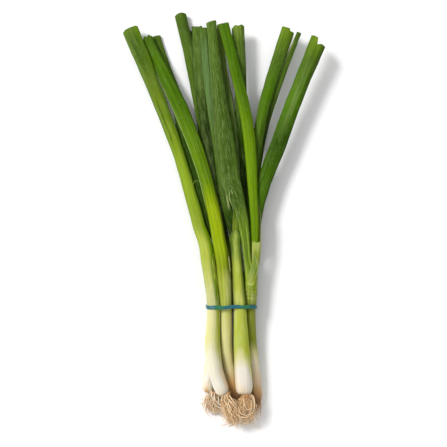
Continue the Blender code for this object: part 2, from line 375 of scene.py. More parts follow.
def fadeBetween(tree, value, start, stop):
    # 0 at the start, 1 at the stop
    inputs = {"Value": value, "From Min": start, "From Max": stop}
    return addNode(tree, "ShaderNodeMapRange", inputs).outputs["Result"]


def addSockets(tree, inputs, outputs):
    for direction, sockets in (("INPUT", inputs), ("OUTPUT", outputs)):
        for label, kind, value in sockets:
            socket = tree.interface.new_socket(label, in_out=direction, socket_type=f"NodeSocket{kind}")
            if value is not None:
                socket.default_value = value


def storeValue(tree, geometry, label, value, kind="FLOAT", domain="POINT"):
    inputs = {"Geometry": geometry, "Name": label, "Value": value}
    node = addNode(tree, "GeometryNodeStoreNamedAttribute", inputs, data_type=kind, domain=domain)
    return node.outputs[0]


def readValue(tree, label, kind="FLOAT"):
    return addNode(tree, "GeometryNodeInputNamedAttribute", {"Name": label}, data_type=kind).outputs[0]


def sampleGuide(tree, curve, label, factor, kind="FLOAT"):
    inputs = {"Curves": curve, "Value": readValue(tree, label, kind), "Factor": factor}
    node = addNode(
        tree, "GeometryNodeSampleCurve", inputs, data_type=kind, mode="FACTOR", use_all_curves=True)
    return node.outputs["Value"]


def guideSpot(tree, curve, factor):
    inputs = {"Curves": curve, "Factor": factor}
    node = addNode(tree, "GeometryNodeSampleCurve", inputs, mode="FACTOR", use_all_curves=True)
    return node.outputs["Position"]


def finishTree(tree, mesh, finish):
    mesh = addNode(tree, "GeometryNodeSetShadeSmooth", {"Geometry": mesh}).outputs[0]
    mesh = addNode(tree, "GeometryNodeRealizeInstances", {"Geometry": mesh}).outputs[0]
    inputs = {"Geometry": mesh, "Material": finish}
    mesh = addNode(tree, "GeometryNodeSetMaterial", inputs).outputs[0]
    addNode(tree, "NodeGroupOutput", {"Geometry": mesh})
    return tree


plainRadius = 4 * mm         # the skin's pattern is laid out as on a tube of this radius
ribLength = 30 * mm          # roughly the length over which a rib comes and goes


def buildBladeTree():
    tree = bpy.data.node_groups.new("skinAlongCourse", "GeometryNodeTree")
    addSockets(
        tree,
        [
            ("Course", "Geometry", None),
            ("Around", "Int", 64),
            ("Along", "Int", 120),
            ("End density", "Float", 0.5),
            ("Squareness", "Float", 1.0),
            ("Ribs", "Float", 14.0),
            ("Rib depth", "Float", 0.0),
            ("Dent depth", "Float", 0.0),
            ("Dent length", "Float", 0.015),
            ("Seed", "Float", 0.0),
            ("Finish", "Material", None),
        ],
        [("Geometry", "Geometry", None)],
    )
    start = addNode(tree, "NodeGroupInput").outputs
    curve = addNode(tree, "GeometryNodeMeshToCurve", {"Mesh": start["Course"]}).outputs[0]
    columns = plus(tree, start["Around"], 1)
    grid = addNode(tree, "GeometryNodeMeshGrid", {
        "Size X": 1.0, "Size Y": 1.0, "Vertices X": columns, "Vertices Y": start["Along"]})
    place = addNode(tree, "GeometryNodeInputPosition").outputs[0]
    split = addNode(tree, "ShaderNodeSeparateXYZ", {0: place}).outputs
    around = plus(tree, split["X"], 0.5)
    evenAlong = plus(tree, split["Y"], 0.5)
    eased = maths(tree, "COSINE", times(tree, evenAlong, math.pi))
    eased = maths(tree, "MULTIPLY_ADD", eased, -0.5, 0.5)
    along = addNode(tree, "ShaderNodeMix", {
        0: start["End density"], 2: evenAlong, 3: eased}, data_type="FLOAT").outputs[0]
    angle = times(tree, around, 2 * math.pi)

    mesh = grid.outputs["Mesh"]
    row = maths(tree, "ROUND", times(tree, evenAlong, minus(tree, start["Along"], 1)))
    column = maths(tree, "ROUND", times(tree, around, start["Around"]))
    mesh = storeValue(tree, mesh, "row", row, "INT")
    mesh = storeValue(tree, mesh, "column", column, "INT")
    mesh = storeValue(tree, mesh, "around", around)
    mesh = storeValue(tree, mesh, "along", along)
    flat = joinXyz(tree, readValue(tree, "around"), readValue(tree, "along"), 0.0)
    mesh = storeValue(tree, mesh, "UVMap", flat, "FLOAT2", "CORNER")

    # the section: a circle, squared off a little, then stretched to the course's width and height
    out = []
    for operation in ("SINE", "COSINE"):
        plain = times(tree, maths(tree, operation, angle), -1.0)
        size = maths(tree, "POWER", maths(tree, "ABSOLUTE", plain), start["Squareness"])
        out.append((plain, times(tree, maths(tree, "SIGN", plain), size)))
    (plainX, sectionX), (plainZ, sectionZ) = out
    centre = guideSpot(tree, curve, along)
    side = sampleGuide(tree, curve, "side", along, "FLOAT_VECTOR")
    up = sampleGuide(tree, curve, "up", along, "FLOAT_VECTOR")
    halfWidth = sampleGuide(tree, curve, "halfWidth", along)
    halfHeight = sampleGuide(tree, curve, "halfHeight", along)
    reach = times(tree, along, addNode(tree, "GeometryNodeCurveLength", {"Curve": curve}).outputs[0])

    # ribs run along the piece and fade in and out; dents are broad and soft
    skin = joinXyz(tree, times(tree, plainX, plainRadius), times(tree, plainZ, plainRadius), reach)
    mesh = storeValue(tree, mesh, "skin", skin, "FLOAT_VECTOR")
    shift = joinXyz(tree, times(tree, start["Seed"], 3.7), start["Seed"], 0.0)
    dentPlace = vectors(tree, "ADD", joinXyz(
        tree, plainX, plainZ, maths(tree, "DIVIDE", reach, start["Dent length"])), shift)
    dentNoise = cloud(tree, dentPlace, 1.5)[0]
    dent = times(tree, minus(tree, dentNoise, 0.5), start["Dent depth"])
    ribPlace = vectors(tree, "ADD", joinXyz(
        tree, times(tree, plainX, 2.0), times(tree, plainZ, 2.0),
        maths(tree, "DIVIDE", reach, ribLength)), shift)
    ribNoise = cloud(tree, ribPlace, 1.0)[0]
    wave = maths(tree, "COSINE", times(tree, angle, start["Ribs"]))
    rib = times(tree, times(tree, wave, ribNoise), start["Rib depth"])
    lift = plus(tree, times(tree, dent, 2.0), rib)

    wide = vectors(tree, "SCALE", side, plus(
        tree, times(tree, sectionX, halfWidth), times(
            tree, plainX, lift)))
    tall = vectors(tree, "SCALE", up, plus(
        tree, times(tree, sectionZ, halfHeight), times(
            tree, plainZ, lift)))
    spot = vectors(tree, "ADD", centre, vectors(tree, "ADD", wide, tall))
    mesh = addNode(tree, "GeometryNodeSetPosition", {"Geometry": mesh, "Position": spot}).outputs[0]
    return finishTree(tree, mesh, start["Finish"])


def makeGuide(name, spots, values, closed=False):
    mesh = bpy.data.meshes.new(name)
    edges = [(i, i + 1) for i in range(len(spots) - 1)]
    if closed:
        edges.append((len(spots) - 1, 0))
    mesh.from_pydata([tuple(spot) for spot in spots], edges, [])
    for label, value in values.items():
        vector = value.ndim == 2
        attribute = mesh.attributes.new(label, "FLOAT_VECTOR" if vector else "FLOAT", "POINT")
        attribute.data.foreach_set("vector" if vector else "value", value.ravel())
    return mesh


def bakedMesh(piece):
    # the plain mesh that the piece's modifiers make
    graph = bpy.context.evaluated_depsgraph_get()
    return bpy.data.meshes.new_from_object(
        piece.evaluated_get(graph), preserve_all_data_layers=True, depsgraph=graph)


def growMesh(name, tree, guide, values):
    # runs a tree on a guide and keeps the plain mesh
    piece = bpy.data.objects.new(name, guide)
    bpy.context.collection.objects.link(piece)
    modifier = piece.modifiers.new("grow", "NODES")
    modifier.node_group = tree
    for item in tree.interface.items_tree:
        if item.item_type == "SOCKET" and item.in_out == "INPUT" and item.name in values:
            modifier[item.identifier] = values[item.name]
    made = bakedMesh(piece)
    piece.modifiers.remove(modifier)
    piece.data = made
    made.name = name
    bpy.data.meshes.remove(guide)
    return piece


def keepResult(piece):
    # turns the live modifiers into plain mesh
    made = bakedMesh(piece)
    piece.modifiers.clear()
    old = piece.data
    piece.data = made
    bpy.data.meshes.remove(old)
    made.name = piece.name


def settle(piece, slot, *nodes):
    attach(piece, "root")
    if nodes:
        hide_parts(*nodes)


bladeTree = buildBladeTree()
print("blade tree built")


# hand work on a grown skin: rows run along it and columns run round it
def readGrid(mesh):
    count = len(mesh.vertices)
    row, column = np.empty(count, np.int32), np.empty(count, np.int32)
    mesh.attributes["row"].data.foreach_get("value", row)
    mesh.attributes["column"].data.foreach_get("value", column)
    order = np.zeros((row.max() + 1, column.max() + 1), np.int64)
    order[row, column] = np.arange(count)
    around = np.empty(count)
    mesh.attributes["around"].data.foreach_get("value", around)
    spots = np.empty(count * 3)
    mesh.vertices.foreach_get("co", spots)
    return order, spots.reshape(-1, 3)[order], around[order[0]]


def writeGrid(mesh, order, grid):
    spots = np.empty((len(mesh.vertices), 3))
    spots[order.ravel()] = grid.reshape(-1, 3)
    mesh.vertices.foreach_set("co", spots.ravel())
    mesh.update()


def rowDistance(grid):
    return distanceAlong(grid[:, :-1].mean(axis=1))


def smoothStep(value):
    value = np.clip(value, 0, 1)
    return value * value * (3 - 2 * value)


def slideColumns(grid, newDistance):
    # moves each column's points along the column, to these distances
    distance = rowDistance(grid)
    made = np.empty_like(grid)
    for column in range(grid.shape[1]):
        made[:, column] = readAt(newDistance[:, column], distance, grid[:, column])
    return made


trimZone = 10 * mm           # at least this much of a leaf draws back with its cut tip


def trimTip(grid, around, cutTop, cutUnder):
    # cuts are (place across from -1 left to 1 right, millimetres cut off)
    distance = rowDistance(grid)
    across = -np.sin(around * 2 * math.pi)
    above = -np.cos(around * 2 * math.pi)
    top = readPairs(across, cutTop)
    under = readPairs(across, cutUnder)
    share = smoothStep(above * 2 + 0.5)
    cut = (top * share + under * (1 - share)) * mm
    zone = max(trimZone, cut.max() * 3)
    push = smoothStep((distance - (distance[-1] - zone)) / zone)
    return slideColumns(grid, distance[:, None] - push[:, None] * cut[None, :])


def roundEnd(grid, reach, atTip=True):
    # draws the last rows in to a closed, rounded end
    if not atTip:
        return roundEnd(grid[::-1], reach)[::-1]
    distance = rowDistance(grid)
    into = np.clip((distance - (distance[-1] - reach)) / reach, 0, 1)
    middle = grid[:, :-1].mean(axis=1)[:, None]
    return middle + (grid - middle) * np.sqrt(1 - into ** 2)[:, None, None]


def liftRows(grid, low, high, fade, amounts):
    # moves a row's points outward by the amounts there, fading in and out over some millimetres
    made = grid.copy()
    for i in range(len(grid)):
        middle = grid[i, :-1].mean(axis=0)
        y = middle[1] / mm
        share = min(smoothStep((y - low) / fade), smoothStep((high - y) / fade))
        if share > 0:
            made[i] += unit(grid[i] - middle) * (amounts(y) * share)[:, None]
    return made


def pressCrease(grid, around, crease):
    # a furrow or ridge at one place round the skin, between two distances along Y
    away = (around - crease["at"]) / crease["width"]
    press = -np.exp(-away ** 2) * crease["depth"] * mm
    return liftRows(grid, crease["from"], crease["to"], 6, lambda y: press)


def wrinkle(grid, around, wrinkles):
    # cross wrinkles, where a sheath has slipped a little on the stem
    turn = around * 2 * math.pi

    def wave(y):
        phase = 2 * math.pi * y / wrinkles["pitch"] + 1.3 * np.sin(turn * 2) + 0.8 * np.sin(turn * 3 + y)
        return np.cos(phase) * wrinkles["depth"] * mm

    return liftRows(grid, wrinkles["from"], wrinkles["to"], 3, wave)


weldDistance = 0.002 * mm


def weld(mesh):
    model = bmesh.new()
    model.from_mesh(mesh)
    bmesh.ops.remove_doubles(model, verts=model.verts, dist=weldDistance)
    bmesh.ops.dissolve_degenerate(model, edges=model.edges, dist=weldDistance)
    model.to_mesh(mesh)
    model.free()


def addWall(piece, thickness):
    wall = piece.modifiers.new("wall", "SOLIDIFY")
    wall.thickness = thickness
    wall.offset = -1
    keepResult(piece)
    piece.data.shade_smooth()
    piece.data.set_sharp_from_angle(angle=math.radians(60))


def makeGroup(name, inputs, outputs):
    tree = bpy.data.node_groups.new(name, "ShaderNodeTree")
    addSockets(tree, inputs, outputs)
    return tree, addNode(tree, "NodeGroupInput").outputs


def noiseMask(tree, vector, low, high, detail=2.0):
    return fadeBetween(tree, cloud(tree, vector, detail)[0], low, high)


def buildVeins():
    # fine lines that run along a leaf and break off here and there
    tree, start = makeGroup(
        "veinStreaks",
        [("Skin", "Vector", None), ("Fineness", "Float", 900.0), ("Stretch", "Float", 12.0),
         ("Shift", "Float", 0.0)],
        [("Mask", "Float", None), ("Height", "Float", None)],
    )
    grain = joinXyz(tree, start["Fineness"], start["Fineness"], start["Stretch"])
    shift = joinXyz(tree, start["Shift"], start["Shift"], start["Shift"])
    fine = vectors(tree, "ADD", vectors(tree, "MULTIPLY", start["Skin"], grain), shift)
    lines = noiseMask(tree, fine, 0.42, 0.62)
    broad = vectors(tree, "ADD", vectors(tree, "MULTIPLY", fine, (0.35, 0.35, 0.6)), shift)
    patches = noiseMask(tree, broad, 0.35, 0.65)
    mask = times(tree, lines, maths(tree, "MULTIPLY_ADD", patches, 0.7, 0.3))
    addNode(tree, "NodeGroupOutput", {"Mask": mask, "Height": lines})
    return tree


def buildBlotches():
    # soft cloudy patches, or small flecks where their size is small
    tree, start = makeGroup(
        "cloudyPatches",
        [("Place", "Vector", None), ("Size", "Float", 0.006), ("Long", "Float", 1.0),
         ("Low", "Float", 0.4), ("High", "Float", 0.65), ("Shift", "Float", 0.0)],
        [("Mask", "Float", None)],
    )
    finer = maths(tree, "DIVIDE", 1.0, start["Size"])
    grain = joinXyz(tree, finer, finer, maths(tree, "DIVIDE", finer, start["Long"]))
    shift = joinXyz(tree, start["Shift"], start["Shift"], start["Shift"])
    spot = vectors(tree, "ADD", vectors(tree, "MULTIPLY", start["Place"], grain), shift)
    mask = noiseMask(tree, spot, start["Low"], start["High"], 3.0)
    addNode(tree, "NodeGroupOutput", {"Mask": mask})
    return tree


def buildEdgeLine():
    # a narrow line at one place round a leaf
    tree, start = makeGroup(
        "edgeLine",
        [("Around", "Float", 0.0), ("At", "Float", 0.75), ("Width", "Float", 0.02)],
        [("Mask", "Float", None)],
    )
    away = maths(tree, "ABSOLUTE", minus(tree, start["Around"], start["At"]))
    mask = fadeBetween(tree, away, start["Width"], times(tree, start["Width"], 0.4))
    addNode(tree, "NodeGroupOutput", {"Mask": mask})
    return tree


def stripe(at, width, label, strength, low, high, fade=4):
    # a line along a skin: its place and width as shares of the way round, its two ends along Y
    # in millimetres, and the millimetres over which each end fades
    return {"at": at, "width": width, "shade": label, "strength": strength, "from": low, "to": high,
            "fade": fade}


def furrow(at, width, depth, low, high):
    # pressed into the skin along such a line, or raised where the depth is negative
    return {"at": at, "width": width, "depth": depth, "from": low, "to": high}


veins = buildVeins()
patches = buildBlotches()
edgeLine = buildEdgeLine()


def useGroup(tree, group, **inputs):
    return addNode(tree, "ShaderNodeGroup", inputs, node_tree=group).outputs


def mixColour(tree, factor, first, second, blend="MIX"):
    inputs = {0: factor, 6: first, 7: second}
    return addNode(tree, "ShaderNodeMix", inputs, data_type="RGBA", blend_type=blend).outputs[2]


def rampColour(tree, value, stops):
    # stops are (millimetres along Y, shade name)
    low, high = stops[0][0], stops[-1][0]
    share = fadeBetween(tree, value, low * mm, high * mm)
    ramp = addNode(tree, "ShaderNodeValToRGB", {"Fac": share})
    marks = ramp.color_ramp.elements
    marks[1].position = 1
    for i, (place, label) in enumerate(stops):
        spot = (place - low) / (high - low)
        mark = marks[0] if i == 0 else marks[-1] if i == len(stops) - 1 else marks.new(spot)
        mark.color = shades[label]
    return ramp.outputs["Color"]


def startMaterial(name):
    material = bpy.data.materials.new(name)
    material.use_nodes = True
    tree = material.node_tree
    place = addNode(tree, "ShaderNodeTexCoord").outputs["Object"]
    return material, tree, tree.nodes["Principled BSDF"], place


def addBump(tree, surface, height, strength, depth):
    inputs = {"Strength": strength, "Distance": depth * mm, "Height": height}
    tree.links.new(addNode(tree, "ShaderNodeBump", inputs).outputs[0], surface.inputs["Normal"])


def letLightIn(surface, weight, radius, scale):
    surface.inputs["Subsurface Weight"].default_value = weight
    surface.inputs["Subsurface Radius"].default_value = radius
    surface.inputs["Subsurface Scale"].default_value = scale * mm


# places round a skin: 0 underneath, 0.25 at the left, 0.5 on top and 0.75 at the right
tongueAt = 0.46              # where a sheath's paler shade reaches furthest up
# painted light and shade on the two sides of a skin: a shade mixed over each side that lightens it as if
# lit, darkens it as if in shade, and on stems shows light coming through it
paintedSideShading = {"leftPaintedShading": (0.45, 0.27), "rightPaintedShading": (0.54, 0.72)}      # from no tint to the full tint


def skinMaterial(name, look):
    material, tree, surface, place = startMaterial(name)
    skin = addNode(tree, "ShaderNodeAttribute", attribute_name="skin").outputs["Vector"]
    flat = addNode(tree, "ShaderNodeSeparateXYZ", {
        0: addNode(tree, "ShaderNodeUVMap", uv_map="UVMap").outputs[0]}).outputs
    height = addNode(tree, "ShaderNodeSeparateXYZ", {0: place}).outputs["Y"]

    # the main colour runs along the bunch, with a wavering border between shades
    wander = useGroup(tree, patches, Place=skin, Size=3 * mm, Long=6.0, Low=0.0, High=1.0,
                      Shift=look["seed"] * 1.3)["Mask"]
    height = plus(tree, height, times(tree, minus(tree, wander, 0.5), look["waver"] * mm))
    fromTop = times(tree, minus(tree, flat["X"], tongueAt), 4.0)
    sides = times(tree, times(tree, fromTop, fromTop), look["tongue"] * mm)
    colour = rampColour(tree, plus(tree, height, sides), look["shades"])
    # each side gets its painted light and shade over the colour along the bunch
    for paintedSide, (near, far) in paintedSideShading.items():
        label, strength = look[paintedSide]
        mask = times(tree, fadeBetween(tree, flat["X"], near, far), strength)
        colour = mixColour(tree, mask, colour, shades[label])

    # broad uneven patches, fine veins, a dusty bloom and small flecks
    uneven = useGroup(tree, patches, Place=skin, Size=look["patchSize"] * mm, Long=7.0, Low=0.35,
                      High=0.7, Shift=look["seed"] * 3.3)["Mask"]
    deeper = mixColour(tree, 1.0, colour, (*look["patchTint"], 1), "MULTIPLY")
    colour = mixColour(tree, times(tree, uneven, look["patches"]), colour, deeper)
    streaks = useGroup(tree, veins, Skin=skin, Fineness=look["fineness"], Stretch=look["stretch"],
                       Shift=look["seed"])
    dark = mixColour(tree, 1.0, colour, (*[look["streakShade"]] * 3, 1), "MULTIPLY")
    colour = mixColour(tree, times(tree, streaks["Mask"], look["streaks"]), colour, dark)
    bloom = useGroup(tree, patches, Place=skin, Size=look["bloomSize"] * mm, Long=5.0,
                     Low=0.42, High=0.68, Shift=look["seed"] * 2.1)["Mask"]
    colour = mixColour(tree, times(tree, bloom, look["bloom"]), colour, shades[look["bloomShade"]])
    flecks = useGroup(tree, patches, Place=skin, Size=look["fleckSize"] * mm,
                      Long=look["fleckLong"], Low=look["fleckFrom"], High=look["fleckFrom"] + 0.06,
                      Shift=look["seed"] * 0.7)["Mask"]
    colour = mixColour(tree, times(tree, flecks, look["flecks"]), colour, shades[look["fleckShade"]])
    for line in look["lines"]:
        drawn = useGroup(tree, edgeLine, Around=flat["X"], At=line["at"], Width=line["width"])["Mask"]
        broken = useGroup(tree, patches, Place=skin, Size=1.5 * mm, Long=12.0, Low=0.3, High=0.5,
                          Shift=line["at"] * 9)["Mask"]
        fade = line["fade"]
        within = line["strength"]
        for edge, inner in ((line["from"], line["from"] + fade), (line["to"], line["to"] - fade)):
            within = times(tree, within, fadeBetween(tree, height, edge * mm, inner * mm))
        drawn = times(tree, times(tree, drawn, broken), within)
        colour = mixColour(tree, drawn, colour, shades[line["shade"]])
    for spot in look["spots"]:
        away = vectors(tree, "DISTANCE", joinXyz(tree, flat["X"], times(
            tree, height, spot["squeeze"]), 0.0), (
                spot["around"], spot["y"] * mm * spot["squeeze"], 0.0))
        mask = times(tree, fadeBetween(tree, away, spot["size"], spot["size"] * 0.4), spot["strength"])
        colour = mixColour(tree, mask, colour, shades[spot["shade"]])
    tree.links.new(colour, surface.inputs["Base Color"])

    rough = maths(tree, "MULTIPLY_ADD", bloom, 0.14, look["roughness"])
    tree.links.new(rough, surface.inputs["Roughness"])
    grain = plus(tree, streaks["Height"], times(tree, bloom, 0.6))
    addBump(tree, surface, grain, look["bump"], 0.12)
    surface.inputs["Specular IOR Level"].default_value = look["gloss"]
    letLightIn(surface, look["depth"], (1.0, 0.8, 0.35), 1.2)
    return material


# how each onion's sheath changes from the root plate up to its neck
sheathShades = {
    "onion_a": [(-134, "rootBrown"), (-128, "dryTan"), (-124, "bulbCream"), (-118, "bulbWhite"),
                (-100, "bulbIvory"), (-84, "strawPale"), (-62, "sheathLime"), (-30, "neckGreen")],
    "onion_b": [(-134, "dryTan"), (-129, "bulbCream"), (-121, "bulbWhite"), (-98, "bulbIvory"),
                (-88, "strawPale"), (-54, "strawPale"), (-42, "strawGreen"), (-26, "sheathLime")],
    "onion_c": [(-138, "soilBrown"), (-130, "rootBrown"), (-121, "dryTan"), (-111, "skinBuff"),
                (-96, "warmStraw"), (-72, "strawGreen"), (-54, "sheathLime"), (-34, "neckGreen")],
    "onion_d": [(-132, "dryTan"), (-126, "bulbCream"), (-117, "bulbWhite"), (-108, "bulbWhite"),
                (-101, "strawPale"), (-92, "sheathLime"), (-66, "sheathLime"), (-58, "strawGreen"),
                (-48, "sheathLime"), (-20, "stubGreen")],
    "onion_e": [(-141, "soilBrown"), (-133, "rootBrown"), (-127, "rootAmber"), (-121, "skinPeach"),
                (-106, "bulbCream"), (-97, "warmStraw"), (-88, "oliveGreen"), (-60, "oliveGreen"),
                (-44, "freshGreen")],
    "onion_f": [(-130, "dryTan"), (-118, "skinBuff"), (-90, "strawGreen"), (-60, "oliveGreen"),
                (-30, "freshGreen")],
}
leafLook = {
    "waver": 4, "tongue": 0, "fineness": 1000, "stretch": 16, "streaks": 0.85, "streakShade": 0.5,
    # painted light and shade on the sides: by default the right side of a leaf is darker, as if in shade
    "leftPaintedShading": ("mossGreen", 0.15), "rightPaintedShading": ("deepGreen", 0.3),
    "patches": 0.55, "patchSize": 4, "patchTint": (0.66, 0.76, 0.5),
    "bloom": 0.08, "bloomSize": 1.8, "bloomShade": "dustAndSheenGreen",
    "flecks": 0.3, "fleckSize": 0.34, "fleckLong": 9.0, "fleckFrom": 0.6, "fleckShade": "dustAndSheenGreen",
    "lines": [], "spots": [], "roughness": 0.5, "bump": 0.5, "gloss": 0.05, "depth": 0.03,
}
stemLook = {
    **leafLook, "waver": 6, "tongue": 16, "fineness": 800, "stretch": 10, "streaks": 0.4,
    # painted light on the sides: by default a stem's right side is greener, as if lit through
    "streakShade": 0.78, "leftPaintedShading": ("strawGreen", 0.0), "rightPaintedShading": ("paintedGlowLime", 0.1),
    "patches": 0.2, "patchTint": (0.95, 0.92, 0.76), "bloom": 0.2, "bloomSize": 3.5,
    "bloomShade": "bulbIvory", "flecks": 0.12, "fleckSize": 0.7, "fleckFrom": 0.64,
    "fleckShade": "dryTan", "roughness": 0.42, "bump": 0.3, "gloss": 0.15, "depth": 0.35,
}
print("finishes ready")


# leaves: hollow, open at their cut tips, the outer ones wrapping their stem down to the band
flatCut = [(-1, 0.3), (-0.6, 0.0), (0.5, 0.1), (1, 0.5)]
leafBasics = {
    "outer": True,            # wraps its stem down to the band, or comes out of the wrap
    "sink": 12,               # millimetres that an inner leaf runs on down the stem
    "early": 5,               # millimetres before its own foot that a leaf turns to its own course
    "blend": 20,              # and after it that it has taken it
    "wrap": 1.04,             # share of the stem's width that an outer leaf takes
    "inside": 0.62,           # and an inner one
    "wall": 0.42,
    "around": 64,
    "along": 130,
    "squareness": 0.92,
    "ribs": 14,
    "ribDepth": 0.12,
    "dent": 0.5,
    "dentLength": 16,
    "tipTop": flatCut,
    "tipUnder": flatCut,
    "dome": 0,
    "creases": [],
    "wrinkles": None,
    "girth": [(0, 1)],        # (distance along Y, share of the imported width)
    "shift": [(0, 0)],        # (distance along Y, millimetres to the right)
    "look": {},
}
bandLow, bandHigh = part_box("rubber_band")
bandMiddle = (bandLow[1] + bandHigh[1]) / 2


def overY(course, pairs):
    # a value given at a few distances along Y, read all along a course
    return readPairs(course["spots"][:, 1], [(y * mm, value) for y, value in pairs])


def onionOf(name):
    # such as onion_a
    return name[:7]


def leafGuide(leaf):
    blade, stem = courses[leaf["blade"]], courses[onionOf(leaf["name"]) + "_stem"]
    base = np.linalg.norm(blade["spots"][0] - stem["spots"][-1])
    sink = leaf["sink"] * mm
    if leaf["outer"]:
        sink = stem["spots"][-1][1] - bandMiddle + base
    steps = np.linspace(-sink, blade["length"], 100)
    onBlade = alongCourse(blade, steps)
    onStem = alongCourse(stem, stem["length"] + base + steps)
    early = leaf["early"]
    share = smoothStep((steps + early * mm) / ((early + leaf["blend"]) * mm))
    width = leaf["wrap"] if leaf["outer"] else leaf["inside"]
    onStem["halfWidth"] *= width
    onStem["halfHeight"] *= width
    mixed = {}
    for key, value in onStem.items():
        weight = share[:, None] if value.ndim == 2 else share
        mixed[key] = value * (1 - weight) + onBlade[key] * weight
    mixed["side"] = unit(mixed["side"])
    mixed["halfWidth"] *= overY(mixed, leaf["girth"])
    mixed["spots"] += mixed["side"] * overY(mixed, leaf["shift"])[:, None] * mm
    return mixed


def withUps(course):
    # the up vectors, square to the course and its side
    forward = np.gradient(course["spots"], axis=0)
    up = unit(np.cross(course["side"], forward))
    return {"side": course["side"], "up": up, "halfWidth": course["halfWidth"],
            "halfHeight": course["halfHeight"]}


def growBlade(name, leaf, course, finish):
    guide = makeGuide(name + "_guide", course["spots"], withUps(course))
    return growMesh(name, bladeTree, guide, {
        "Around": leaf["around"], "Along": leaf["along"], "Squareness": leaf["squareness"],
        "Ribs": float(leaf["ribs"]), "Rib depth": leaf["ribDepth"] * mm,
        "Dent depth": leaf["dent"] * mm, "Dent length": leaf["dentLength"] * mm,
        "Seed": float(leaf["seed"]), "Finish": finish})


def makeLeaf(changes):
    leaf = {**leafBasics, "blade": changes["name"], **changes}
    foot = sheathShades[onionOf(leaf["name"])]
    stops = [stop for stop in foot if stop[0] < leaf["shades"][0][0] - 3] + leaf["shades"]
    look = {**leafLook, "seed": leaf["seed"], "shades": stops, **leaf["look"]}
    piece = growBlade(leaf["name"] + "_skin", leaf, leafGuide(leaf), skinMaterial(
        leaf["name"] + "_green", look))
    order, grid, around = readGrid(piece.data)
    if leaf["dome"]:
        grid = roundEnd(grid, leaf["dome"] * mm)
    else:
        grid = trimTip(grid, around, leaf["tipTop"], leaf["tipUnder"])
    for crease in leaf["creases"]:
        grid = pressCrease(grid, around, crease)
    if leaf["wrinkles"]:
        grid = wrinkle(grid, around, leaf["wrinkles"])
    writeGrid(piece.data, order, grid)
    weld(piece.data)
    addWall(piece, leaf["wall"] * mm)
    settle(piece, "green_leaf", leaf["name"])


